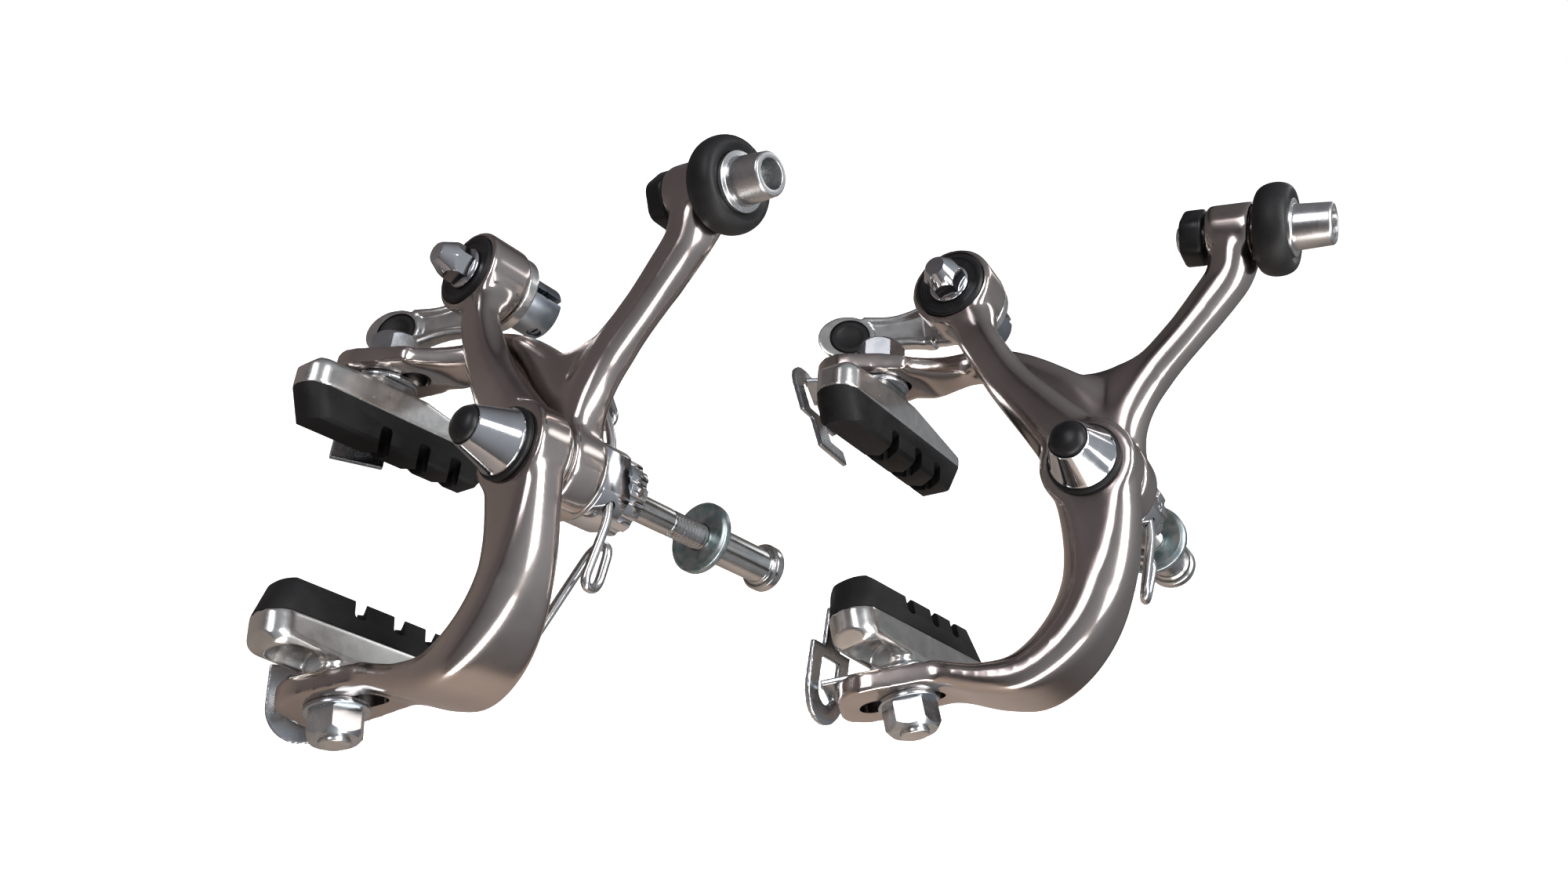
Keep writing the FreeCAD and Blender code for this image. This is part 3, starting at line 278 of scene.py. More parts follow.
def make_smudges():
    group, enter, leave = new_group("handling_smudges", {"Scale": 120, "Sharpness": 0.3})
    noise = object_noise(group, enter, {"Detail": 6, "Distortion": 0.6})
    low = add_node(group, "Math", {1: 0.5}, "MULTIPLY")
    high = add_node(group, "Math", {0: 1}, "SUBTRACT")
    ramp = add_node(group, "MapRange")
    ramp.interpolation_type = "SMOOTHSTEP"
    group.links.new(enter.outputs["Sharpness"], low.inputs[0])
    group.links.new(low.outputs[0], high.inputs[1])
    group.links.new(noise, ramp.inputs["Value"])
    group.links.new(low.outputs[0], ramp.inputs["From Min"])
    group.links.new(high.outputs[0], ramp.inputs["From Max"])
    group.links.new(ramp.outputs["Result"], leave.inputs["Mask"])
    return group


def make_rub():
    group, enter, leave = new_group("rubbed_edges", {"Start": 0.53, "Full": 0.62})
    shape = add_node(group, "NewGeometry")
    ramp = add_node(group, "MapRange")
    group.links.new(shape.outputs["Pointiness"], ramp.inputs["Value"])
    group.links.new(enter.outputs["Start"], ramp.inputs["From Min"])
    group.links.new(enter.outputs["Full"], ramp.inputs["From Max"])
    group.links.new(ramp.outputs["Result"], leave.inputs["Mask"])
    return group


GRAIN = make_grain()
SMUDGES = make_smudges()
RUB = make_rub()
print("effects:", GRAIN.name, SMUDGES.name, RUB.name)

# %% [markdown]
# One recipe serves every finish: two tints mixed by the smudges, a third on rubbed edges, a roughness that
# follows the grain and the smudges, and a bump. What differs is the numbers, from mirror-polished alloy to
# dull rubber.

# %% Finish recipe
BUMP_DEPTH = 0.0002
COAT_ROUGHNESS = 0.06


def colour_mix(tree, mask, first, second):
    mix = add_node(tree, "Mix")
    mix.data_type = "RGBA"
    tree.links.new(mask, mix.inputs["Factor"])
    for socket, value in ((mix.inputs["A"], first), (mix.inputs["B"], second)):
        if isinstance(value, tuple):
            socket.default_value = (*value, 1)
        else:
            tree.links.new(value, socket)
    return mix.outputs["Result"]


def effect(tree, group, **values):
    node = add_node(tree, "Group")
    node.node_tree = group
    return set_inputs(node, values).outputs["Mask"]


def make_finish(name, tints, rough, grain, bump, metallic=0, coat=0, smudge=150, rub=None, gloss=0.5):
    material = bpy.data.materials.new(name)
    material.use_nodes = True
    tree = material.node_tree
    grain_mask = effect(tree, GRAIN, Scale=grain)
    smudge_mask = effect(tree, SMUDGES, Scale=smudge, Sharpness=0.5)
    colour = colour_mix(tree, smudge_mask, *tints)
    if rub:
        colour = colour_mix(tree, effect(tree, RUB), colour, rub)
    half = add_node(tree, "Math", {1: 0.5}, "MULTIPLY")
    both = add_node(tree, "Math", {1: 0.5}, "MULTIPLY_ADD")
    spread = add_node(tree, "MapRange", {"To Min": rough[0], "To Max": rough[1]})
    relief = add_node(tree, "Bump", {"Strength": bump, "Distance": BUMP_DEPTH})
    shader = set_inputs(tree.nodes["Principled BSDF"], {
        "Metallic": metallic, "Specular IOR Level": gloss,
        "Coat Weight": coat, "Coat Roughness": COAT_ROUGHNESS,
    })
    tree.links.new(smudge_mask, half.inputs[0])
    tree.links.new(grain_mask, both.inputs[0])
    tree.links.new(half.outputs[0], both.inputs[2])
    tree.links.new(both.outputs[0], spread.inputs["Value"])
    tree.links.new(grain_mask, relief.inputs["Height"])
    tree.links.new(colour, shader.inputs["Base Color"])
    tree.links.new(spread.outputs["Result"], shader.inputs["Roughness"])
    tree.links.new(relief.outputs["Normal"], shader.inputs["Normal"])
    return material


print("finish recipe ready")

# %% [markdown]
# Each finish has a name, two tints and a range of roughness, and then what sets it apart: how fine its grain
# and smudges are, how deep the bump is, and whether it is metal.

# %% Finishes
FINISHES = {
    "arm_alloy": make_finish(
        "bronze_grey_polish", ((0.455, 0.405, 0.38), (0.54, 0.485, 0.46)), (0.15, 0.21),
        grain=500, bump=0.001, metallic=1, coat=0.1, smudge=60),
    "cast_alloy": make_finish(
        "cast_alloy", ((0.58, 0.575, 0.56), (0.68, 0.675, 0.66)), (0.18, 0.30),
        grain=1800, bump=0.03, metallic=1, smudge=300, rub=(0.76, 0.76, 0.75)),
    "plain_alloy": make_finish(
        "turned_alloy", ((0.54, 0.55, 0.56), (0.64, 0.64, 0.64)), (0.22, 0.34),
        grain=2200, bump=0.02, metallic=1),
    "bright_plate": make_finish(
        "bright_plate", ((0.56, 0.58, 0.61), (0.68, 0.69, 0.71)), (0.06, 0.14),
        grain=1200, bump=0.02, metallic=1),
    "plated_steel": make_finish(
        "plated_steel", ((0.50, 0.50, 0.50), (0.62, 0.62, 0.61)), (0.14, 0.28),
        grain=1800, bump=0.05, metallic=1),
    "zinc_steel": make_finish(
        "zinc_plate", ((0.43, 0.46, 0.49), (0.54, 0.56, 0.58)), (0.20, 0.32),
        grain=1600, bump=0.015, metallic=1, smudge=260),
    "spring_steel": make_finish(
        "spring_wire", ((0.54, 0.55, 0.56), (0.66, 0.66, 0.66)), (0.12, 0.24),
        grain=1600, bump=0.04, metallic=1),
    "black_plastic": make_finish(
        "black_plastic", ((0.006, 0.006, 0.007), (0.013, 0.013, 0.014)), (0.28, 0.45),
        grain=2400, bump=0.10, gloss=0.3),
    "soft_rubber": make_finish(
        "soft_rubber", ((0.007, 0.007, 0.0075), (0.014, 0.014, 0.015)), (0.40, 0.60),
        grain=2600, bump=0.15, gloss=0.3),
    "pad_rubber": make_finish(
        "pad_rubber", ((0.005, 0.005, 0.0055), (0.012, 0.012, 0.013)), (0.48, 0.70),
        grain=2200, bump=0.25, gloss=0.25),
}
ANCHOR_FINISH = make_finish(
    "anchor_plate", ((0.22, 0.25, 0.29), (0.31, 0.335, 0.37)), (0.24, 0.38),
    grain=1500, bump=0.04, metallic=1)
PATINA = make_finish(
    "patinated_zinc", ((0.24, 0.36, 0.37), (0.52, 0.54, 0.55)), (0.22, 0.45),
    grain=1600, bump=0.10, metallic=1, smudge=420)
print("finishes:", len(FINISHES))

# %% [markdown]
# Each solid already knows what it is made of. The list below gives every kind of piece its finish, so that a
# solid which stays as it is gets a full material, and a piece modelled again takes the same one.

# %% A finish for every kind of piece
FINISH_OF = {
    "c_arm": "arm_alloy", "y_arm": "arm_alloy",
    "centre_bolt": "plated_steel", "cap_nut": "bright_plate", "cap_plug": "black_plastic",
    "cap_washer": "black_plastic", "pivot_washers": "plated_steel", "spring_block": "bright_plate",
    "return_spring": "spring_steel", "seat_nut": "bright_plate", "recess_washer": "zinc_steel",
    "recess_nut": "plated_steel", "shoe_holder": "cast_alloy", "pad": "pad_rubber",
    "shoe_washer": "zinc_steel", "shoe_nut": "zinc_steel", "wheel_guide": "zinc_steel",
    "release_lever": "cast_alloy", "lever_button": "soft_rubber", "release_disc": "black_plastic",
    "release_nut": "bright_plate", "cable_anchor": "plain_alloy", "adjuster_barrel": "plain_alloy",
    "adjuster_knob": "soft_rubber", "lock_nut": "black_plastic",
}


def kind_of(node):
    kind = node.split("_", 1)[1]
    return kind if kind in FINISH_OF else kind.split("_", 1)[1]


for name, solid in frame["nodes"].items():
    solid.data.materials.clear()
    solid.data.materials.append(FINISHES[FINISH_OF[kind_of(name)]])
print("solids given a finish:", len(frame["nodes"]))

# %% [markdown]
# A few moves come up all the time: carry a bmesh to its place, turn its faces outwards, add one bmesh to
# another, and round off edges or corners.

# %% Bench tools
def carry(bm, place):
    bmesh.ops.transform(bm, matrix=place, verts=bm.verts)
    return bm


def face_out(bm):
    bmesh.ops.recalc_face_normals(bm, faces=bm.faces)
    return bm


def join(target, part, place=Matrix.Identity(4)):
    """Add one bmesh to another, carried to its place."""
    carrier = bpy.data.meshes.new("carrier")
    carry(part, place).to_mesh(carrier)
    part.free()
    target.from_mesh(carrier)
    bpy.data.meshes.remove(carrier)


def round_off(bm, geom, radius, steps, affect="EDGES", clamp=False):
    bmesh.ops.bevel(bm, geom=geom, offset=radius, offset_type="OFFSET", segments=steps, profile=0.5,
                    affect=affect, clamp_overlap=clamp, material=-1)


def edges_along(bm, axis):
    """Edges of a block or a nut that run along x, y or z: 0, 1 or 2."""
    return [e for e in bm.edges if abs(e.verts[0].co[axis] - e.verts[1].co[axis]) > 0.1]


print("bench tools ready")

# %% [markdown]
# Shapes that are not turned or swept start from a square pulled into a slab, a block or a round bar.

# %% Plain shapes
def unit_square():
    bm = bmesh.new()
    bmesh.ops.create_grid(bm, x_segments=1, y_segments=1, size=0.5)
    return bm


def thicken(bm, depth):
    """Pull the one flat face of a bmesh into a slab."""
    grown = bmesh.ops.extrude_face_region(bm, geom=list(bm.faces), use_keep_orig=True)["geom"]
    bmesh.ops.translate(bm, verts=[v for v in grown if isinstance(v, bmesh.types.BMVert)], vec=depth)
    return face_out(bm)


def block(size):
    bm = bmesh.new()
    bmesh.ops.create_cube(bm, size=1)
    bmesh.ops.scale(bm, verts=bm.verts, vec=size)
    return bm


def box(low, high):
    """Block between two corners."""
    low, high = Vector(low), Vector(high)
    return carry(block(high - low), Matrix.Translation((low + high) / 2))


def rod(radius, y0, y1, x=0.0, z=0.0, segments=64):
    """Round bar along Y."""
    bm = bmesh.new()
    place = shift(x, (y0 + y1) / 2, z) @ rotation(-90, "X")
    bmesh.ops.create_cone(bm, cap_ends=True, segments=segments, radius1=radius, radius2=radius,
                          depth=y1 - y0, matrix=place)
    return bm


def drill(radius, **where):
    return rod(radius, -80, 40, **where)


print("plain shapes ready")

# %% [markdown]
# A piece is finished the same way each time: doubles merged, faces turned outwards, carried to its caliper
# and scaled to metres, then tied to the body that it moves with, and the solid that it stands for is hidden.

# %% Hand a finished mesh to the scene
BODY_OF = {node: body for body, nodes in frame["record"]["behaviour"]["bodies"].items() for node in nodes}


def hand_over(bm, node, sharp=40, finish=None, label="look", bend=None):
    which = node.split("_", 1)[0]
    bmesh.ops.remove_doubles(bm, verts=bm.verts, dist=1e-4)
    face_out(bm)
    carry(bm, Matrix.Scale(MM, 4) @ PLACES[which])
    mesh = bpy.data.meshes.new(node + "_" + label)
    bm.to_mesh(mesh)
    bm.free()
    mesh.shade_smooth()
    mesh.set_sharp_from_angle(angle=math.radians(sharp))
    slot = FINISH_OF[kind_of(node)]
    mesh.materials.append(finish or FINISHES[slot])
    piece = bpy.data.objects.new(node + "_" + label, mesh)
    bpy.context.scene.collection.objects.link(piece)
    if bend:
        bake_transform(piece)
    else:
        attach(piece, BODY_OF[node])
    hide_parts(node)
    return piece


def for_both(shape, kind, **look):
    """Hand the same shape to both calipers."""
    for which in PLACES:
        piece = hand_over(shape.copy(), which + "_" + kind, **look)
    print(kind, "for both calipers,", len(piece.data.polygons), "faces each")
    shape.free()


print("bodies:", sorted(set(BODY_OF.values())))

# %% [markdown]
# The arms are forged, then polished until every edge runs softly into the next. A loft in thin bands would
# show its bands in the reflections. So each limb is swept as a stack of D-shaped sections, the hub, bosses
# and foot are laid over it as plain solids, and a voxel remesh welds them into one skin that a few smoothing
# passes ease, much as the polishing wheel did.

# %% Sweep one limb
CUTS = 8


def between(stations, cuts):
    """Stations along a smooth curve through the given ones."""
    steps = []
    for i in range(len(stations) - 1):
        a, b, c, d = (stations[min(max(k, 0), len(stations) - 1)] for k in (i - 1, i, i + 1, i + 2))
        for step in range(cuts):
            t = step / cuts
            steps.append([q + 0.5 * t * (r - p + t * (2 * p - 5 * q + 4 * r - s + t * (3 * (q - r) + s - p)))
                          for p, q, r, s in zip(a, b, c, d)])
    return steps + [list(stations[-1])]


def d_section(bm, width, depth, place):
    """Rounded outline: full at the front, tighter at the back."""
    made = bmesh.ops.create_grid(bm, x_segments=1, y_segments=1, size=0.5)["verts"]
    bmesh.ops.scale(bm, verts=made, vec=(width, depth, 1))
    rest = {face for face in bm.faces if made[0] not in face.verts}
    for front, share in ((True, 0.47), (False, 0.2)):
        corners = [v for v in made if v.is_valid and (v.co.y < 0) == front]
        round_off(bm, corners, share * min(width, depth), 5, "VERTICES")
    face = next(face for face in bm.faces if face not in rest)
    bmesh.ops.transform(bm, matrix=place, verts=face.verts)
    return face


def sweep(bm, stations, hub_front, hub_back):
    """Limb from its stations: x, z, width, and how far it stands past the hub's front and back."""
    path = between(stations, CUTS)
    faces = []
    for i, (x, z, width, forward, backward) in enumerate(path):
        before, after = path[max(i - 1, 0)], path[min(i + 1, len(path) - 1)]
        heading = Vector((after[0] - before[0], 0, after[1] - before[1])).normalized()
        across = Vector((-heading.z, 0, heading.x))
        near, far = hub_front - forward, hub_back + backward
        turn = Matrix((across, Vector((0, 1, 0)), across.cross(Vector((0, 1, 0))))).transposed().to_4x4()
        place = shift(x, (near + far) / 2, z) @ turn
        faces.append(d_section(bm, width, far - near, place))
    for first, second in zip(faces, faces[1:]):
        bmesh.ops.bridge_loops(bm, edges=list(first.edges) + list(second.edges))
    bmesh.ops.delete(bm, geom=faces[1:-1], context="FACES_ONLY")


print("sections per span:", CUTS)

# %% [markdown]
# The foot is a flat with a round lower end, set in its own frame: turned outwards and raked forwards at the
# bottom, and mirrored for the left arm. Its slot is cut by a bar with round ends.

# %% Feet
FOOT_PLACE = shift(40.2, -27.0, -46.2) @ rotation(-7, "Y") @ rotation(-20, "X")
FOOT = {"c": FOOT_PLACE, "y": Matrix.Scale(-1, 4, (1, 0, 0)) @ FOOT_PLACE}
FOOT_T, FOOT_TOP_W, FOOT_LOW_W, FOOT_LOW, FOOT_CORNER = 4.5, 17.0, 20.5, -13.2, 8.0
SLOT_R, SLOT_RUN = 3.2, 5.7


def foot_plate(top):
    bm = unit_square()
    for v in bm.verts:
        upper = v.co.y > 0
        v.co = (0, v.co.x * (FOOT_TOP_W if upper else FOOT_LOW_W), top if upper else FOOT_LOW)
    round_off(bm, [v for v in bm.verts if v.co.z < 0], FOOT_CORNER, 8, "VERTICES")
    return thicken(bm, (-FOOT_T, 0, 0))


def slot_cutter(side):
    bm = unit_square()
    for v in bm.verts:
        v.co = (-20, v.co.x * 2 * SLOT_R, v.co.y * 2 * (SLOT_RUN + SLOT_R))
    round_off(bm, list(bm.verts), SLOT_R * 0.999, 10, "VERTICES")
    return face_out(carry(thicken(bm, (40, 0, 0)), FOOT[side]))


print("foot and slot ready")

# %% [markdown]
# Modifiers need a live object for a moment. The first use is the remesh that welds the pieces of an arm, with
# a smoothing after it, and some listed places are rubbed a little longer.

# %% Weld and ease
def live(bm, name):
    """Make a bmesh an object for as long as a modifier needs it."""
    mesh = bpy.data.meshes.new(name)
    bm.to_mesh(mesh)
    bm.free()
    item = bpy.data.objects.new(name, mesh)
    bpy.context.scene.collection.objects.link(item)
    return item


def clear_away(item):
    mesh = item.data
    bpy.data.objects.remove(item)
    bpy.data.meshes.remove(mesh)


def through_modifiers(bm, set_up):
    """Run a bmesh through modifiers and take the result back."""
    bench = live(bm, "bench")
    set_up(bench)
    result = bmesh.new()
    result.from_object(bench, bpy.context.evaluated_depsgraph_get())
    clear_away(bench)
    return result


def weld_and_ease(bm, voxel, passes):
    def set_up(bench):
        weld = bench.modifiers.new("weld", "REMESH")
        weld.mode = "VOXEL"
        weld.voxel_size = voxel
        ease = bench.modifiers.new("ease", "SMOOTH")
        ease.factor = 0.5
        ease.iterations = passes
    return through_modifiers(face_out(bm), set_up)


def soften(bm, centre, reach, passes=40):
    """Rub the skin smooth near a point, less and less towards the rim, so that no crease shows there."""
    spread = [((v.co - Vector(centre)).length, v) for v in bm.verts]
    spread = [pair for pair in spread if pair[0] < 1.25 * reach]
    for step in range(passes):
        limit = reach * (1.25 - 0.75 * step / passes)
        near = [v for far, v in spread if far < limit]
        bmesh.ops.smooth_vert(bm, verts=near, factor=0.5, use_axis_x=True, use_axis_y=True, use_axis_z=True)


print("welding ready")

# %% [markdown]
# The second use is the Boolean cut for bores and slots, which comes last so that their rims stay crisp.

# %% Cut
def cut(bm, cutters, keep="DIFFERENCE"):
    joined = bmesh.new()
    for cutter in cutters:
        join(joined, cutter)
    tool = live(joined, "cutter")

    def set_up(bench):
        work = bench.modifiers.new("cut", "BOOLEAN")
        work.operation = keep
        work.solver = "EXACT"
        work.use_self = True
        work.object = tool
    result = through_modifiers(bm, set_up)
    clear_away(tool)
    return result


print("cutting ready")

# %% [markdown]
# The front arm reaches from the release boss at the cable side, over the pivot, and round to the right foot.
# Its stations follow the solid's, read from the front: it swells behind the shoulder and thins towards the
# foot. The right limb stands 2 to 3 mm further back than in the solid, where the real one is seen to stand.

# %% Front arms
M6_BORE, M5_BORE = 3.05, 2.55
HUB_R = 10.0
VOXEL, EASE_PASSES = 0.38, 36
C_FRONT, C_BACK = -30.25, -22.25
C_LIMB = (
    (0, 0, 18.6, 0, 0), (9.5, -0.2, 16.2, 0, 0.7), (19.5, -2.4, 14, -0.6, 4), (28.4, -6.8, 12, -0.9, 7.4),
    (35.2, -13.2, 10, -0.6, 9.8), (39.4, -20.8, 8, 0.2, 10.6), (39.3, -28.5, 6, 1.4, 9.8),
    (37.4, -36, 5, 2.4, 8), (37.9, -43, 3.2, 2, 4.2),
)
C_CABLE_LIMB = (
    (0, 0, 18.6, 0, 0), (-7, -3.4, 14.8, 0, 0), (-14, -7.5, 12.5, -0.3, 0), (-26.5, -14.7, 10, -1, 0),
    (-40, -20.3, 9.2, -2.2, 0), (-45.5, -21.9, 10.8, -3, 3.2), (-51, -23.4, 13.4, -3.9, 6),
)
RELEASE = {"x": -57.0, "z": -25.0}
BOSS_FRONT, BOSS_BACK, DISC_SEAT, DISC_SEAT_R = -26.9, -16.2, -25.6, 8.8


def make_c_arm():
    bm = bmesh.new()
    sweep(bm, C_LIMB, C_FRONT, C_BACK)
    sweep(bm, C_CABLE_LIMB, C_FRONT, C_BACK)
    join(bm, rod(HUB_R, C_FRONT, C_BACK))
    join(bm, rod(HUB_R, BOSS_FRONT, BOSS_BACK, **RELEASE))
    join(bm, foot_plate(9.5), FOOT["c"])
    bm = weld_and_ease(bm, VOXEL, EASE_PASSES)
    soften(bm, (-47.5, -21.0, -22.0), 8.0)
    soften(bm, FOOT["c"] @ Vector((-2.2, 0, 11)), 10.0)
    disc_seat = rod(DISC_SEAT_R, -45, DISC_SEAT, **RELEASE)
    return cut(bm, [drill(M6_BORE), drill(M5_BORE, **RELEASE), disc_seat, slot_cutter("c")])


for_both(make_c_arm(), "c_arm", sharp=75)

# %% [markdown]
# The rear arm forks at the pivot: the stem climbs to the adjuster and the limb comes down to the left foot,
# with a thin web left in the crotch. The web starts as a triangle whose open edge is subdivided and drawn in
# to an arc.

# %% Rear arms
Y_FRONT, Y_BACK = -21.25, -12.95
Y_STEM = (
    (-2, 1, 16, -0.3, -0.3), (-12, 4.8, 11.5, -0.3, -0.3), (-21, 11.6, 9.2, -0.3, -0.3),
    (-30.6, 23.2, 8.6, -0.3, -0.4), (-38.8, 32.4, 9, 0, -0.2), (-43, 35.2, 9.4, 1.2, 0.9),
    (-50.1, 38, 9.6, 2.4, 2),
)
Y_LIMB = (
    (0, 0, 18, -0.3, -0.3), (-9.5, -0.4, 16, -0.3, -0.3), (-19.5, -2.8, 13.8, -0.3, -0.3),
    (-27.4, -8, 10.8, -0.3, -0.3), (-33.6, -14.4, 9, -0.3, -0.2), (-38.2, -21.4, 7.6, -0.3, 0),
    (-39.3, -26.8, 6.4, 0.2, 0.1), (-38.5, -31.4, 5.6, 4.2, -0.2), (-37.3, -36.8, 4.8, 10.4, -1.2),
    (-37.9, -43.4, 3.2, 11.2, -5),
)
WEB_TOP, WEB_LOW, WEB_SAG = Vector((-36, 0, 27)), Vector((-29, 0, -7)), 5.5
WEB_FRONT, WEB_BACK = Y_FRONT + 1.8, Y_BACK - 0.6
UPRIGHT = rotation(90, "X")
ADJUSTER = shift(-50.1, -17.6, 37.2) @ rotation(17, "Y") @ UPRIGHT
ADJUSTER_R, ADJUSTER_HALF, ADJUSTER_BORE, ADJUSTER_FACE_R = 6.6, 4.8, 3.55, 8.2


def make_web():
    bm = bmesh.new()
    corners = [bm.verts.new(place) for place in (WEB_LOW, Vector((0, 0, 0)), WEB_TOP)]
    bm.faces.new(corners)
    rim = [e for e in bm.edges if corners[1] not in e.verts]
    bmesh.ops.subdivide_edges(bm, edges=rim, cuts=9)
    for v in bm.verts:
        if v not in corners:
            share = (v.co - WEB_LOW).length / (WEB_TOP - WEB_LOW).length
            v.co.x += WEB_SAG * 4 * share * (1 - share)
    bmesh.ops.translate(bm, verts=bm.verts, vec=(0, WEB_FRONT, 0))
    return thicken(bm, (0, WEB_BACK - WEB_FRONT, 0))


def make_y_arm():
    bm = bmesh.new()
    sweep(bm, Y_LIMB, Y_FRONT, Y_BACK)
    sweep(bm, Y_STEM, Y_FRONT, Y_BACK)
    join(bm, rod(HUB_R, Y_FRONT, Y_BACK))
    join(bm, rod(ADJUSTER_R, -ADJUSTER_HALF, ADJUSTER_HALF), ADJUSTER)
    join(bm, make_web())
    join(bm, foot_plate(8.5), FOOT["y"])
    bm = weld_and_ease(bm, VOXEL, EASE_PASSES)
    soften(bm, (-45.5, -17.3, 35.8), 7.5)
    soften(bm, (-31.0, -17.0, 18.0), 9.0, 80)
    soften(bm, (-18.0, -19.0, 5.0), 9.0, 60)
    soften(bm, (-29.0, -17.0, -7.0), 7.0)
    soften(bm, FOOT["y"] @ Vector((-2.2, 0, 12)), 11.0, 60)
    seats = [
        rod(ADJUSTER_BORE, -20, 20),
        rod(ADJUSTER_FACE_R, ADJUSTER_HALF, 20),
        rod(ADJUSTER_FACE_R, -20, -ADJUSTER_HALF),
    ]
    return cut(bm, [drill(M6_BORE), slot_cutter("y")] + [carry(seat, ADJUSTER) for seat in seats])


for_both(make_y_arm(), "y_arm", sharp=75)

# %% [markdown]
# Most of the hardware is turned on a lathe: a half outline swept once round the axis. The outline is drawn
# with corners, and after the spin a small bevel eases them, because a plated edge never looks knife-sharp.

# %% Lathe, hexagon and thread
def ease_edges(bm, width, angle=30, segments=3):
    face_out(bm)
    crisp = [e for e in bm.edges if len(e.link_faces) == 2 and e.calc_face_angle() > math.radians(angle)]
    round_off(bm, crisp, width, segments, clamp=True)
    return bm


def turned(outline, ease=0.2, ring=False, steps=72):
    """Spin (radius, y) points about Y. A ring's outline closes on itself."""
    bm = bmesh.new()
    verts = [bm.verts.new((r, y, 0)) for r, y in outline]
    ends = verts[1:] + (verts[:1] if ring else [])
    edges = [bm.edges.new(pair) for pair in zip(verts, ends)]
    bmesh.ops.spin(bm, geom=verts + edges, cent=(0, 0, 0), axis=(0, 1, 0), angle=2 * math.pi, steps=steps,
                   use_merge=True)
    bmesh.ops.remove_doubles(bm, verts=bm.verts, dist=1e-4)
    return ease_edges(bm, ease)


def washer(bore, radius, y0, y1, ease):
    return turned([(bore, y0), (radius, y0), (radius, y1), (bore, y1)], ease, ring=True)


def hexagon(flats, y0, y1):
    return rod(flats / math.sqrt(3), y0, y1, segments=6)


def thread(crest, depth, pitch, y0, y1, steps=20):
    """A three-sided ridge wound along the axis."""
    bm = bmesh.new()
    profile = ((crest - depth, 0), (crest, 0.4), (crest - depth, 0.8))
    ring = [bm.verts.new((radius, y0 + along * pitch, 0)) for radius, along in profile]
    edges = [bm.edges.new(pair) for pair in zip(ring, ring[1:] + ring[:1])]
    turns = (y1 - y0) / pitch - 1
    bmesh.ops.spin(bm, geom=ring + edges, cent=(0, 0, 0), axis=(0, 1, 0), dvec=(0, pitch / steps, 0),
                   angle=2 * math.pi * turns, steps=round(turns * steps), use_merge=False)
    bmesh.ops.holes_fill(bm, edges=[e for e in bm.edges if len(e.link_faces) == 1], sides=3)
    return face_out(bm)


print("lathe ready")

# %% [markdown]
# On the nose of the bolt sit a black washer, a bright tapered nut and a domed plug pressed in its tip. The
# taper takes a slight lip at its base, and the plug is a quarter circle of points spun round.

# %% Nose of the bolt
CAP_BACK, CAP_FRONT = -31.4, -40.4
PLUG_R, PLUG_RISE = 3.8, 2.1


def dome(radius, height, y, points=7):
    """Half outline of a dome that bulges forward from y."""
    turns = [math.pi / 2 * i / (points - 1) for i in range(points)]
    return [(radius * math.sin(t), y - height * math.cos(t)) for t in turns]


cone = [
    (M6_BORE, CAP_BACK), (7.0, CAP_BACK), (7.0, CAP_BACK - 0.7), (6.6, CAP_BACK - 1.2),
    (4.3, CAP_FRONT + 0.3), (4.1, CAP_FRONT), (3.85, CAP_FRONT + 0.2), (3.85, CAP_FRONT + 1.6),
    (M6_BORE, CAP_FRONT + 1.6),
]
plug = dome(PLUG_R, PLUG_RISE, CAP_FRONT - 0.1) + [(PLUG_R, CAP_FRONT + 1.5), (0, CAP_FRONT + 1.5)]
for_both(turned(cone, 0.12, ring=True), "cap_nut", sharp=30)
for_both(turned(plug, 0.1), "cap_plug", sharp=50)
for_both(washer(M6_BORE, 7.7, CAP_BACK, -30.3, 0.3), "cap_washer")

# %% [markdown]
# Behind the arms the bolt goes through a hollow-faced washer into a long sleeve nut. The plain shank is
# bright, and the last stretch carries a rolled thread, which is a thin ridge wound round a thinner core.

# %% Bolt, washer and sleeve nut
BEHIND = {
    "front": {"washer": 24.0, "sleeve": 19.5, "thread": 14.0},
    "rear": {"washer": 14.0, "sleeve": 14.5, "thread": 4.0},
}
BOLT_R, CORE_R, BOLT_NOSE = 3.0, 2.6, -37.9
for which, at in BEHIND.items():
    face, root = at["washer"], at["thread"]
    seat = face + 2.2
    head = seat + at["sleeve"]
    end = seat + min(13.0, at["sleeve"] - 4.0)
    bolt = turned([
        (0, BOLT_NOSE), (2.5, BOLT_NOSE), (BOLT_R, BOLT_NOSE + 0.5), (BOLT_R, root), (CORE_R, root + 0.5),
        (CORE_R, end), (0, end),
    ])
    join(bolt, thread(BOLT_R, 0.42, 1.0, root + 0.3, end - 0.2))
    hand_over(bolt, which + "_centre_bolt", sharp=35)
    hollow = [(M6_BORE, face + 0.5), (7.2, face), (8.2, face + 0.5), (8.2, seat), (M6_BORE, seat)]
    hand_over(turned(hollow, 0.25, ring=True), which + "_recess_washer", finish=PATINA)
    sleeve = turned([
        (M6_BORE, seat), (4.1, seat), (4.1, head - 0.6), (4.5, head - 0.2), (4.5, head), (5.1, head),
        (5.6, head + 0.5), (5.6, head + 2.6), (5.0, head + 3.2), (0, head + 3.2), (0, head - 1.3),
        (M6_BORE, head - 1.3),
    ], 0.15)
    socket = hexagon(5.0, head - 0.8, head + 8)
    hand_over(cut(sleeve, [socket]), which + "_recess_nut", sharp=35)
print("bolts, washers and sleeve nuts done")

# %% [markdown]
# The adjuster leans across the top of the rear arm. A hollow barrel with a fine thread carries a rubber ring,
# which is an oval spun round the axis, and a thin nut locks it from below.

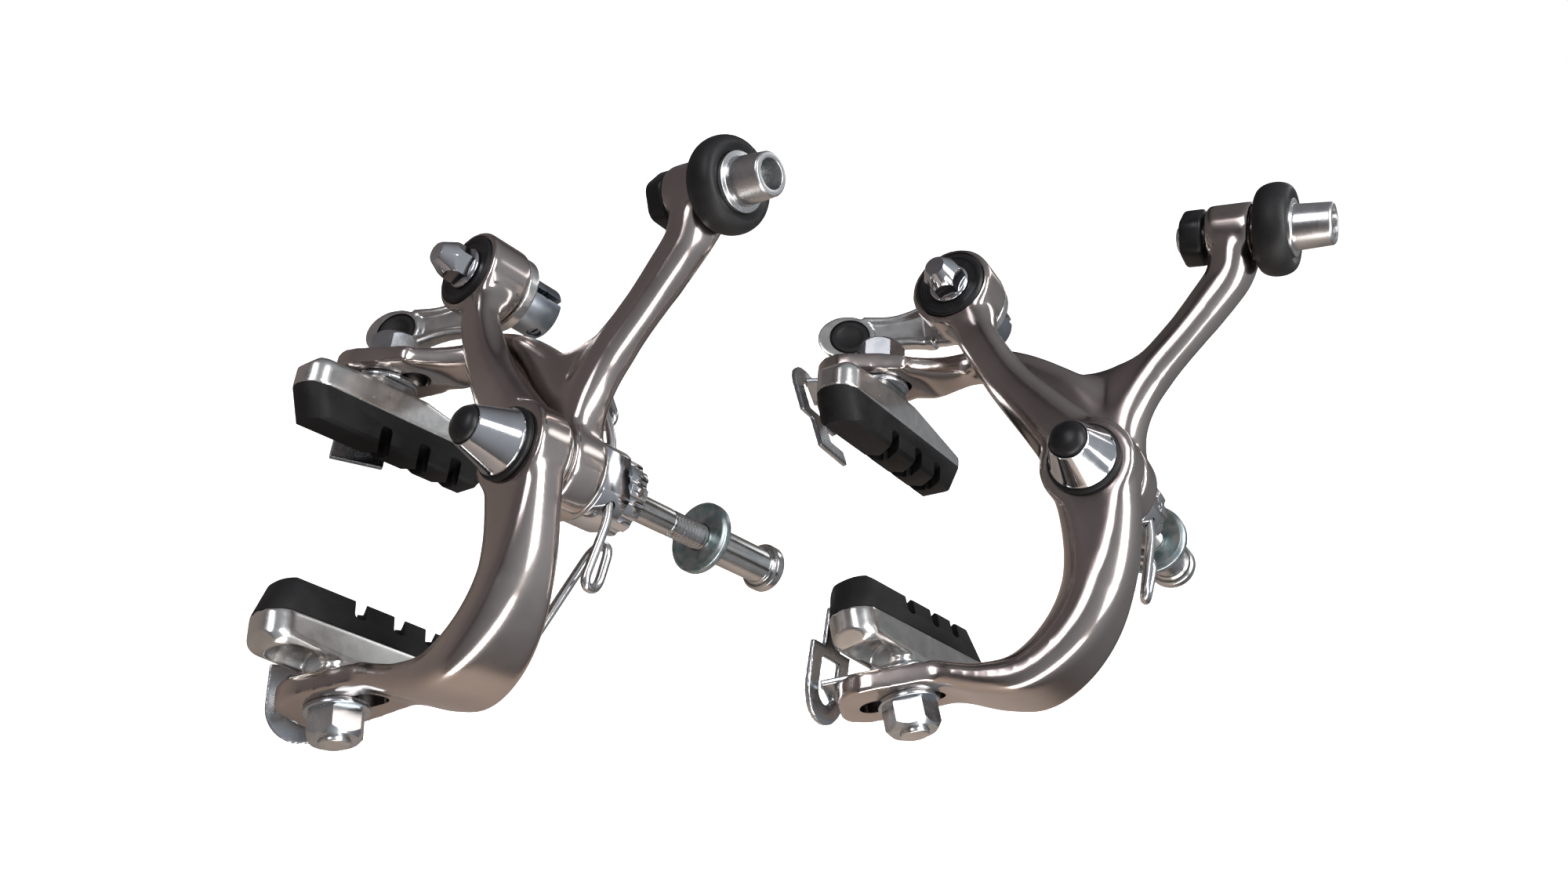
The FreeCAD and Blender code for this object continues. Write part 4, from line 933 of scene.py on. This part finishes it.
# %% Adjusters
OUT = {"front": {"knob": 0.3, "nut": 0.05}, "rear": {"knob": 0.9, "nut": 0.6}}
BARREL = (
    (1, -12.4), (2.7, -12.4), (3.05, -12.0), (3.05, 4.8), (6.0, 4.8), (6.2, 5.2), (6.2, 11.9), (5.0, 11.9),
    (4.9, 12.6), (4.5, 19.1), (4.2, 19.5), (3.1, 19.5), (3.1, 11.8), (1, 11.8),
)
KNOB_BORE = 6.3


def make_knob():
    bm = bmesh.new()
    bmesh.ops.create_circle(bm, segments=28, radius=1)
    carry(bm, shift(8.0, 8.2, 0) @ Matrix.Diagonal((2.0, 3.5, 1, 1)))
    for v in bm.verts:
        v.co.x = KNOB_BORE if v.co.x < 7.0 else v.co.x
    bmesh.ops.spin(bm, geom=bm.verts[:] + bm.edges[:], cent=(0, 0, 0), axis=(0, 1, 0), angle=2 * math.pi,
                   steps=72, use_merge=True)
    return bm


def make_lock_nut():
    bm = hexagon(11.6, -9.6, -ADJUSTER_HALF)
    round_off(bm, edges_along(bm, 1), 1.6, 5)
    return cut(ease_edges(bm, 0.8, 50), [rod(ADJUSTER_BORE, -20, 20)])


def along_adjuster(bm, lift):
    return carry(bm, ADJUSTER @ shift(0, lift, 0))


for which, out in OUT.items():
    barrel = turned(BARREL, 0.12, ring=True)
    join(barrel, thread(3.5, 0.5, 0.8, -12.2, ADJUSTER_HALF))
    hand_over(along_adjuster(barrel, out["knob"]), which + "_adjuster_barrel", sharp=35)
    hand_over(along_adjuster(make_knob(), out["knob"]), which + "_adjuster_knob", sharp=60)
    hand_over(along_adjuster(make_lock_nut(), -out["nut"]), which + "_lock_nut", sharp=35)
print("adjusters done")

# %% [markdown]
# A brake shoe is a cast holder with a rubber block. It is built in the foot's own frame, with x out towards
# the arm, y back and z up, then turned level on its stud. The holder is deep and round at the nose, scooped
# hollow behind it, and thins to the tail, so a bevelled slab is shaved by planes and eased like the arms.

# %% Shoe frame
PAD_SEAT, PAD_FRONT, PAD_L, PAD_H, NOSE_R, TAIL_R = -14.1, -20.5, 51.0, 10.6, 4.8, 2.2
PAD_TAIL = PAD_FRONT + PAD_L
HOLDER_T, POST_BACK = 6.9, -5.7
SHOE_SEAT = {"front": -2.2, "rear": 1.2}
SHOE_TURN = {"front_c": -6.0, "front_y": 0.0, "rear_c": 5.0, "rear_y": 5.0}


def stud_place(which, side, degrees=0):
    return FOOT[side] @ shift(0, 0, SHOE_SEAT[which]) @ rotation(degrees, "X")


def shoe_place(which, side):
    return stud_place(which, side, 20 + SHOE_TURN[which + "_" + side])


def on_every_shoe(shape, kind, place_of, **look):
    for which in PLACES:
        for side in ("c", "y"):
            hand_over(carry(shape.copy(), place_of(which, side)), which + "_" + side + "_" + kind, **look)
    print(kind, "four times,", len(shape.faces), "faces each")
    shape.free()


def shoe_slab(x0, x1, grow=0.0):
    """Slab with a round nose and an eased tail, between two depths."""
    bm = unit_square()
    for v in bm.verts:
        v.co = (x0, PAD_TAIL + grow if v.co.y > 0 else PAD_FRONT - grow, v.co.x * (PAD_H + 2 * grow))
    nose = [v for v in bm.verts if v.co.y < 0]
    tail = [v for v in bm.verts if v.co.y > 0]
    round_off(bm, nose, NOSE_R, 8, "VERTICES")
    round_off(bm, tail, TAIL_R, 8, "VERTICES")
    return thicken(bm, (x1 - x0, 0, 0))


def shave(bm, point, normal):
    """Cut away everything past a plane and close the cut."""
    everything = bm.verts[:] + bm.edges[:] + bm.faces[:]
    made = bmesh.ops.bisect_plane(bm, geom=everything, dist=1e-5, plane_co=point, plane_no=normal,
                                  clear_outer=True)["geom_cut"]
    bmesh.ops.holes_fill(bm, edges=[e for e in made if isinstance(e, bmesh.types.BMEdge)], sides=0)
    face_out(bm)


print("shoe frame ready")

# %% [markdown]
# The holder gets its hollow from a round-ended cutter. A rib runs forward from the post to the edge of the
# hollow, and the stud through the foot is left out of the easing so that it stays round.

# %% Shoe holders
ALONG_X = rotation(-90, "Z")
TAIL_T, SLOPE_START, BROW_R, HOLLOW_R = 2.4, 8.0, 2.4, 4.1
POST_L, POST_CORNER = 13.0, 3.2
RIB, RIB_FALL = (5.0, 9.0, 2.0), 3.4
STUD_R, STUD_OUT = 2.95, 7.7
HOLDER_VOXEL, HOLDER_PASSES = 0.32, 8


def capsule(radius, start, end):
    """Round bar along y with a ball at its front."""
    bm = rod(radius, start[1], end, start[0], start[2], segments=40)
    ball = bmesh.new()
    bmesh.ops.create_uvsphere(ball, u_segments=40, v_segments=20, radius=radius)
    join(bm, ball, Matrix.Translation(start))
    return bm


def make_post():
    post = block((POST_BACK - PAD_SEAT - 1, POST_L, PAD_H - 0.6))
    round_off(post, edges_along(post, 0), POST_CORNER, 6)
    return post


def make_rib():
    rib = block(RIB)
    for v in rib.verts:
        v.co.x -= RIB_FALL if v.co.x > 0 and v.co.y < 0 else 0
    return rib


def make_stud():
    stud = ease_edges(rod(STUD_R, -1.4, STUD_OUT - POST_BACK), 0.4)
    join(stud, thread(3.0, 0.3, 1.0, 6.0, 12.6))
    return stud


def make_holder():
    top = PAD_SEAT + HOLDER_T
    bm = shoe_slab(PAD_SEAT, top)
    brow = [e for e in bm.edges if all(v.co.x > top - 0.01 and v.co.y < 5 for v in e.verts)]
    round_off(bm, brow, BROW_R, 6)
    shave(bm, (top, SLOPE_START, 0), (1, (HOLDER_T - TAIL_T) / (PAD_TAIL - SLOPE_START), 0))
    shave(bm, (top - 1.3, PAD_FRONT + 1.2, 0), (1, -1.0, 0))
    bm = cut(bm, [capsule(HOLLOW_R, (top + 0.9, PAD_FRONT + 7.6, 0.4), -6.0)])
    join(bm, make_post(), shift((POST_BACK + PAD_SEAT + 1) / 2, 0, 0))
    join(bm, make_rib(), shift(top - 2.2, -9.0, 2.6))
    bm = weld_and_ease(bm, HOLDER_VOXEL, HOLDER_PASSES)
    join(bm, make_stud(), shift(POST_BACK, 0, 0) @ ALONG_X)
    return bm


on_every_shoe(make_holder(), "shoe_holder", shoe_place, sharp=45)

# %% [markdown]
# The rubber block follows the holder's outline and draws in towards the rim. Three chevron grooves cross its
# face, and each runs out through the side walls in a round-topped notch. The lower edge is bevelled off.

# %% Pads
PAD_T = 7.5
PAD_FACE = PAD_SEAT - PAD_T
FACE_FRONT, FACE_L = PAD_FRONT + 3.0, PAD_L - 7.5
LOWER_BEVEL, UPPER_BEVEL = 2.4, 0.9
GROOVES, GROOVE, GROOVE_LEAN = (0.46, 0.66, 0.83), (9.4, 2.5, 12), 32


def chevron(y):
    """Two slanted bars that meet in a point, with rounded floors."""
    bm = bmesh.new()
    for sign in (-1, 1):
        bar = block(GROOVE)
        round_off(bar, [e for e in edges_along(bar, 2) if e.verts[0].co.x > 0], 0.9, 5)
        place = shift(PAD_FACE - 0.5, y, 0) @ rotation(sign * GROOVE_LEAN, "X")
        join(bm, bar, place @ shift(0, 0, sign * 6.0))
    return bm


def make_pad():
    bm = shoe_slab(PAD_SEAT, PAD_FACE, -0.05)
    for v in bm.verts:
        if v.co.x < PAD_SEAT - 1:
            v.co.y = FACE_FRONT + (v.co.y - PAD_FRONT) * FACE_L / PAD_L
    shave(bm, (PAD_FACE, 0, -PAD_H / 2 + LOWER_BEVEL), (-1, 0, -1))
    shave(bm, (PAD_FACE, 0, PAD_H / 2 - UPPER_BEVEL), (-1, 0, 0.8))
    for share in GROOVES:
        bm = cut(bm, [chevron(PAD_FRONT + share * PAD_L)])
    return ease_edges(bm, 0.22, 24, 2)


on_every_shoe(make_pad(), "pad", shoe_place, sharp=35)

# %% [markdown]
# Each stud carries a plain washer and a hexagon nut. A nut's corners are cut back by a cone at its outer
# face, so it is a hexagon kept only where it lies inside a turned shape.

# %% Shoe washers and nuts
SHOE_WASHER_T, SHOE_NUT_END = 1.2, 6.8


def make_shoe_nut():
    inside = turned([
        (0, SHOE_WASHER_T), (5.5, SHOE_WASHER_T), (5.8, 1.6), (5.8, 5.5), (4.7, SHOE_NUT_END),
        (0, SHOE_NUT_END),
    ], 0)
    nut = cut(hexagon(10.0, SHOE_WASHER_T, SHOE_NUT_END), [inside], "INTERSECT")
    return carry(ease_edges(cut(nut, [rod(M6_BORE, 0, 9)]), 0.12, 20, 2), ALONG_X)


on_every_shoe(carry(washer(M6_BORE, 6.4, 0, SHOE_WASHER_T, 0.25), ALONG_X), "shoe_washer", stud_place)
on_every_shoe(make_shoe_nut(), "shoe_nut", stud_place, sharp=25)

# %% [markdown]
# The wheel guide is pressed from sheet: an eye on the stud, a leg, a sloping plate with a window, and a
# narrow tongue with a turned finger. The pieces of sheet are welded together and their edges eased.

# %% Wheel guides
GUIDE_TURN = {"front": 28.0, "rear": 0.0}
GUIDE_DROP = {"front": 0.925, "rear": 1.0}
HALF_SHEET = 0.6
GUIDE_NEAR, GUIDE_FAR, GUIDE_LEG = -5.7, -4.5, -16.6
GUIDE_EYE_R, GUIDE_HALF, FINGER_END = 7.0, 6, -17.6
GUIDE_VOXEL, GUIDE_PASSES = 0.28, 4


def tongue(start, end, half, rise):
    """Flat block along x whose far end is a half round."""
    bm = box((start, -half, -rise), (end, half, rise))
    round_off(bm, [e for e in edges_along(bm, 2) if e.verts[0].co.x > end - 0.01], half * 0.999, 10)
    return bm


def make_guide():
    plate = cut(tongue(-9.4, 6.5, 7.6, HALF_SHEET), [tongue(-7.0, 2.4, 3.6, 3)])
    join(plate, box((FINGER_END, -3, -HALF_SHEET), (-9.2, 3, HALF_SHEET)))
    join(plate, box((FINGER_END, 0, -HALF_SHEET), (-13.6, 9, HALF_SHEET)))
    middle = shift((GUIDE_NEAR + GUIDE_FAR) / 2, 0, GUIDE_LEG)
    carry(plate, middle @ rotation(20, "X") @ rotation(19, "Y"))
    join(plate, rod(GUIDE_EYE_R, GUIDE_NEAR, GUIDE_FAR), ALONG_X)
    join(plate, box((GUIDE_NEAR, -GUIDE_HALF, GUIDE_LEG), (GUIDE_FAR, GUIDE_HALF, 0)))
    plate = weld_and_ease(plate, GUIDE_VOXEL, GUIDE_PASSES)
    return cut(plate, [carry(rod(SLOT_R, -20, 20), ALONG_X)])


def guide_place(which, side):
    """Turned on its stud, with a shorter leg in front."""
    return stud_place(which, side, GUIDE_TURN[which]) @ Matrix.Diagonal((1, 1, GUIDE_DROP[which], 1))


on_every_shoe(make_guide(), "wheel_guide", guide_place, sharp=50)

# %% [markdown]
# Between the arms and the frame the bolt carries thin washers, the bright block that holds the spring, and a
# fluted nut. The flutes are round bars taken out of a plain disc.

# %% Washers, spring block and seat nut
BLOCK_R, BLOCK_FRONT, BLOCK_BACK = 9.0, -12.0, -4.5
WIRE_AT = (0, -8.3, 5.4)
FLUTES, FLUTE_R, FLUTE_OUT = 12, 1.5, 9.1


def make_spring_block():
    bar = rod(BLOCK_R, BLOCK_FRONT, BLOCK_BACK)
    bar = cut(bar, [box((-20, -20, -7.6), (20, 20, 7.6))], "INTERSECT")
    wire_hole = carry(rod(1.25, -20, 20), Matrix.Translation(WIRE_AT) @ ALONG_X)
    return cut(ease_edges(bar, 0.9), [drill(M6_BORE), wire_hole])


def make_seat_nut():
    turns = [math.tau * i / FLUTES for i in range(FLUTES)]
    middles = [(FLUTE_OUT * math.cos(turn), FLUTE_OUT * math.sin(turn)) for turn in turns]
    flutes = [rod(FLUTE_R, -6, 2, x, z, segments=20) for x, z in middles]
    return ease_edges(cut(rod(8.2, BLOCK_BACK, 0), flutes + [drill(M6_BORE)]), 0.2, 35)


washers = washer(M6_BORE, BLOCK_R, -12.9, BLOCK_FRONT, 0.2)
join(washers, washer(M6_BORE, BLOCK_R, -22.2, -21.3, 0.2))
for_both(washers, "pivot_washers")
for_both(make_spring_block(), "spring_block", sharp=30)
for_both(make_seat_nut(), "seat_nut", sharp=30)

# %% [markdown]
# The return spring is one wire with two springy legs. It is drawn as two halves that meet in the block, one
# for each arm, and each half stays where it is drawn, tied to no body.

# %% Return spring
LEG = (
    WIRE_AT, (9.5, -8.3, 5.4), (23.5, -11.2, 2.2), (23.2, -6.6, 1.2), (14.4, -6.6, 4.6), (13.6, -6.9, 0.2),
    (30.5, -11.6, -9.5),
)
BEND_START, BEND_END = LEG[1], (30.5, -8.3, -9.5)
WIRE_R, CORNER_R, CORNER_STEPS = 1.0, 3.0, 10


def bends(corners):
    """Points along straight runs joined by soft bends."""
    path = [corners[0]]
    for before, corner, after in zip(corners, corners[1:], corners[2:]):
        into, out = (corner.lerp(to, min(CORNER_R / (to - corner).length, 0.48)) for to in (before, after))
        for i in range(CORNER_STEPS + 1):
            t = i / CORNER_STEPS
            path.append(into.lerp(corner, t).lerp(corner.lerp(out, t), t))
    return path + [corners[-1]]


def wire(path):
    """Draw a ring along the path, turning it with each step."""
    bm = bmesh.new()
    heading = (path[1] - path[0]).normalized()
    place = Matrix.Translation(path[0]) @ heading.to_track_quat("Z", "Y").to_matrix().to_4x4()
    bmesh.ops.create_circle(bm, cap_ends=True, segments=16, radius=WIRE_R, matrix=place)
    rim = bm.edges[:]
    for here, there, after in zip(path, path[1:], path[2:] + path[-1:]):
        grown = bmesh.ops.extrude_edge_only(bm, edges=rim)["geom"]
        ring = [v for v in grown if isinstance(v, bmesh.types.BMVert)]
        rim = [e for e in grown if isinstance(e, bmesh.types.BMEdge) and all(v in ring for v in e.verts)]
        bmesh.ops.translate(bm, verts=ring, vec=there - here)
        ahead = (after - here).normalized()
        bmesh.ops.rotate(bm, verts=ring, cent=there, matrix=heading.rotation_difference(ahead).to_matrix())
        heading = ahead
    bmesh.ops.contextual_create(bm, geom=rim)
    round_off(bm, [e for face in bm.faces if len(face.verts) > 4 for e in face.edges], 0.3, 3)
    return bm


for which in PLACES:
    for side, sign in (("c", 1), ("y", -1)):
        leg = wire(bends([Vector((sign * x, y, z)) for x, y, z in LEG]))
        start, end = ((sign * x, y, z) for x, y, z in (BEND_START, BEND_END))
        bend = (which + "_" + side + "_arm_set", start, end)
        hand_over(leg, which + "_return_spring", sharp=60, label=side + "_leg", bend=bend)
print("spring legs drawn")

# %% [markdown]
# The quick release sits on the boss at the cable end. Its lever is a waisted casting with raised edges and an
# eye for a soft button. It is made flat, welded, and then bent forward by sliding everything below the bend.

# %% Release lever and button
LEVER_FRONT, LEVER_BACK = -16.15, -13.35
LEVER_END, LEVER_BEND, LEVER_SLOPE = Vector((3, 0, -29)), -12.0, 0.5
LEVER_HUB_R, LEVER_EYE_R, EYE_BORE = 9.4, 6.3, 5.0
LEVER_VOXEL, LEVER_PASSES = 0.3, 5
SHANK = (
    (0, 3, 14, 0, 0), (0.4, -6, 15, 0, 0), (1.4, -13, 10, 0, 0), (2, -19, 8.4, 0, 0), (2.6, -24.5, 9.6, 0, 0),
    (3, -29, 11, 0, 0),
)
RAISED_EDGES = (
    ((-5.4, -9.8, 2.2, 0.8, 0), (-3.0, -14, 2, 0.9, 0), (-1.6, -19, 2, 0.9, 0), (-2, -25, 2.2, 0.9, 0)),
    ((6.4, -9.8, 2.2, 0.8, 0), (5.4, -14, 2, 0.9, 0), (5.4, -19, 2, 0.9, 0), (7, -25, 2.2, 0.9, 0)),
)
BUTTON = ((0, -1.5), (2.6, -1.6), (3.4, -2.1), (4.4, -2.1), (4.9, -1.6), (4.9, 1.6), (4.4, 2.1), (0, 2.1))
AT_RELEASE = shift(RELEASE["x"], 0, RELEASE["z"])


def lever_eye():
    """Place of the button: square to the sloping end of the lever."""
    middle = (LEVER_FRONT + LEVER_BACK) / 2 + LEVER_SLOPE * (LEVER_END.z - LEVER_BEND)
    tilt = Matrix.Rotation(-math.atan(LEVER_SLOPE), 4, "X")
    return AT_RELEASE @ shift(LEVER_END.x, middle, LEVER_END.z) @ tilt


def make_lever():
    bm = bmesh.new()
    for limb in (SHANK, *RAISED_EDGES):
        sweep(bm, limb, LEVER_FRONT, LEVER_BACK)
    join(bm, rod(LEVER_HUB_R, LEVER_FRONT, LEVER_BACK))
    join(bm, rod(LEVER_EYE_R, LEVER_FRONT - 0.8, LEVER_BACK, LEVER_END.x, LEVER_END.z))
    bm = weld_and_ease(bm, LEVER_VOXEL, LEVER_PASSES)
    for v in bm.verts:
        v.co.y -= LEVER_SLOPE * max(LEVER_BEND - v.co.z, 0)
    eye = carry(rod(EYE_BORE, -9, 9), lever_eye())
    return cut(carry(bm, AT_RELEASE), [drill(M5_BORE, **RELEASE), eye])


for_both(make_lever(), "release_lever", sharp=50)
for_both(carry(turned(BUTTON, 0.2), lever_eye()), "lever_button", sharp=50)

# %% [markdown]
# In front of the boss are a black disc with a raised rim and a flanged nut whose hexagon tapers to a flat
# nose. Behind the lever the cable anchor is a drum with a slit, a cable hole and a small screw sunk in its
# side.

# %% Release disc, nut and cable anchor
DISC_FRONT, DISC_BACK, DISC_R = -27.1, -25.65, 8.5
NUT_FRONT, NUT_BACK = -35.4, -28.2
ANCHOR_FRONT, ANCHOR_BACK, ANCHOR_R = -13.3, -3.8, 6.6
SCREW_BACK, SCREW_R, POCKET_R, CABLE_R = 2.2, 1.5, 1.7, 1.0
SHANK_R, SHANK_FRONT = 2.5, -31.0


def make_disc():
    return turned([
        (M5_BORE, DISC_FRONT), (6.8, DISC_FRONT), (7.1, -27.45), (8.0, -27.45), (DISC_R, -26.9),
        (DISC_R, DISC_BACK), (M5_BORE, DISC_BACK),
    ], 0.15, ring=True)


def make_release_nut():
    inside = turned([
        (0, NUT_FRONT), (2.3, NUT_FRONT), (2.7, -35.0), (4.4, -31.8), (4.62, -31.0), (4.62, NUT_BACK),
        (0, NUT_BACK),
    ], 0)
    nut = ease_edges(cut(hexagon(8.0, NUT_FRONT, NUT_BACK), [inside], "INTERSECT"), 0.12, 20, 2)
    join(nut, turned([(0, -28.25), (4.5, -28.25), (5.0, -27.7), (5.0, -27.2), (0, -27.2)], 0.15))
    return nut


def make_anchor():
    drum = ease_edges(rod(ANCHOR_R, ANCHOR_FRONT, ANCHOR_BACK), 0.6)
    middle = shift(0, (ANCHOR_FRONT + ANCHOR_BACK) / 2, 0)
    screw_place = shift(0, SCREW_BACK, 0) @ middle @ ALONG_X
    pocket = carry(rod(POCKET_R, 5.6, 9), screw_place)
    cable = carry(rod(CABLE_R, -20, 20), middle @ UPRIGHT)
    drum = cut(drum, [box((-0.8, -20, 3.6), (0.8, 0, 9)), pocket, cable])
    screw = cut(ease_edges(rod(SCREW_R, 4.6, 6.1), 0.2), [box((-0.25, 5.6, -3), (0.25, 9, 3))])
    join(drum, screw, screw_place)
    join(drum, rod(SHANK_R, SHANK_FRONT, ANCHOR_FRONT))
    return drum


for_both(carry(make_disc(), AT_RELEASE), "release_disc")
for_both(carry(make_release_nut(), AT_RELEASE), "release_nut", sharp=25)
for_both(carry(make_anchor(), AT_RELEASE), "cable_anchor", sharp=35, finish=ANCHOR_FINISH)
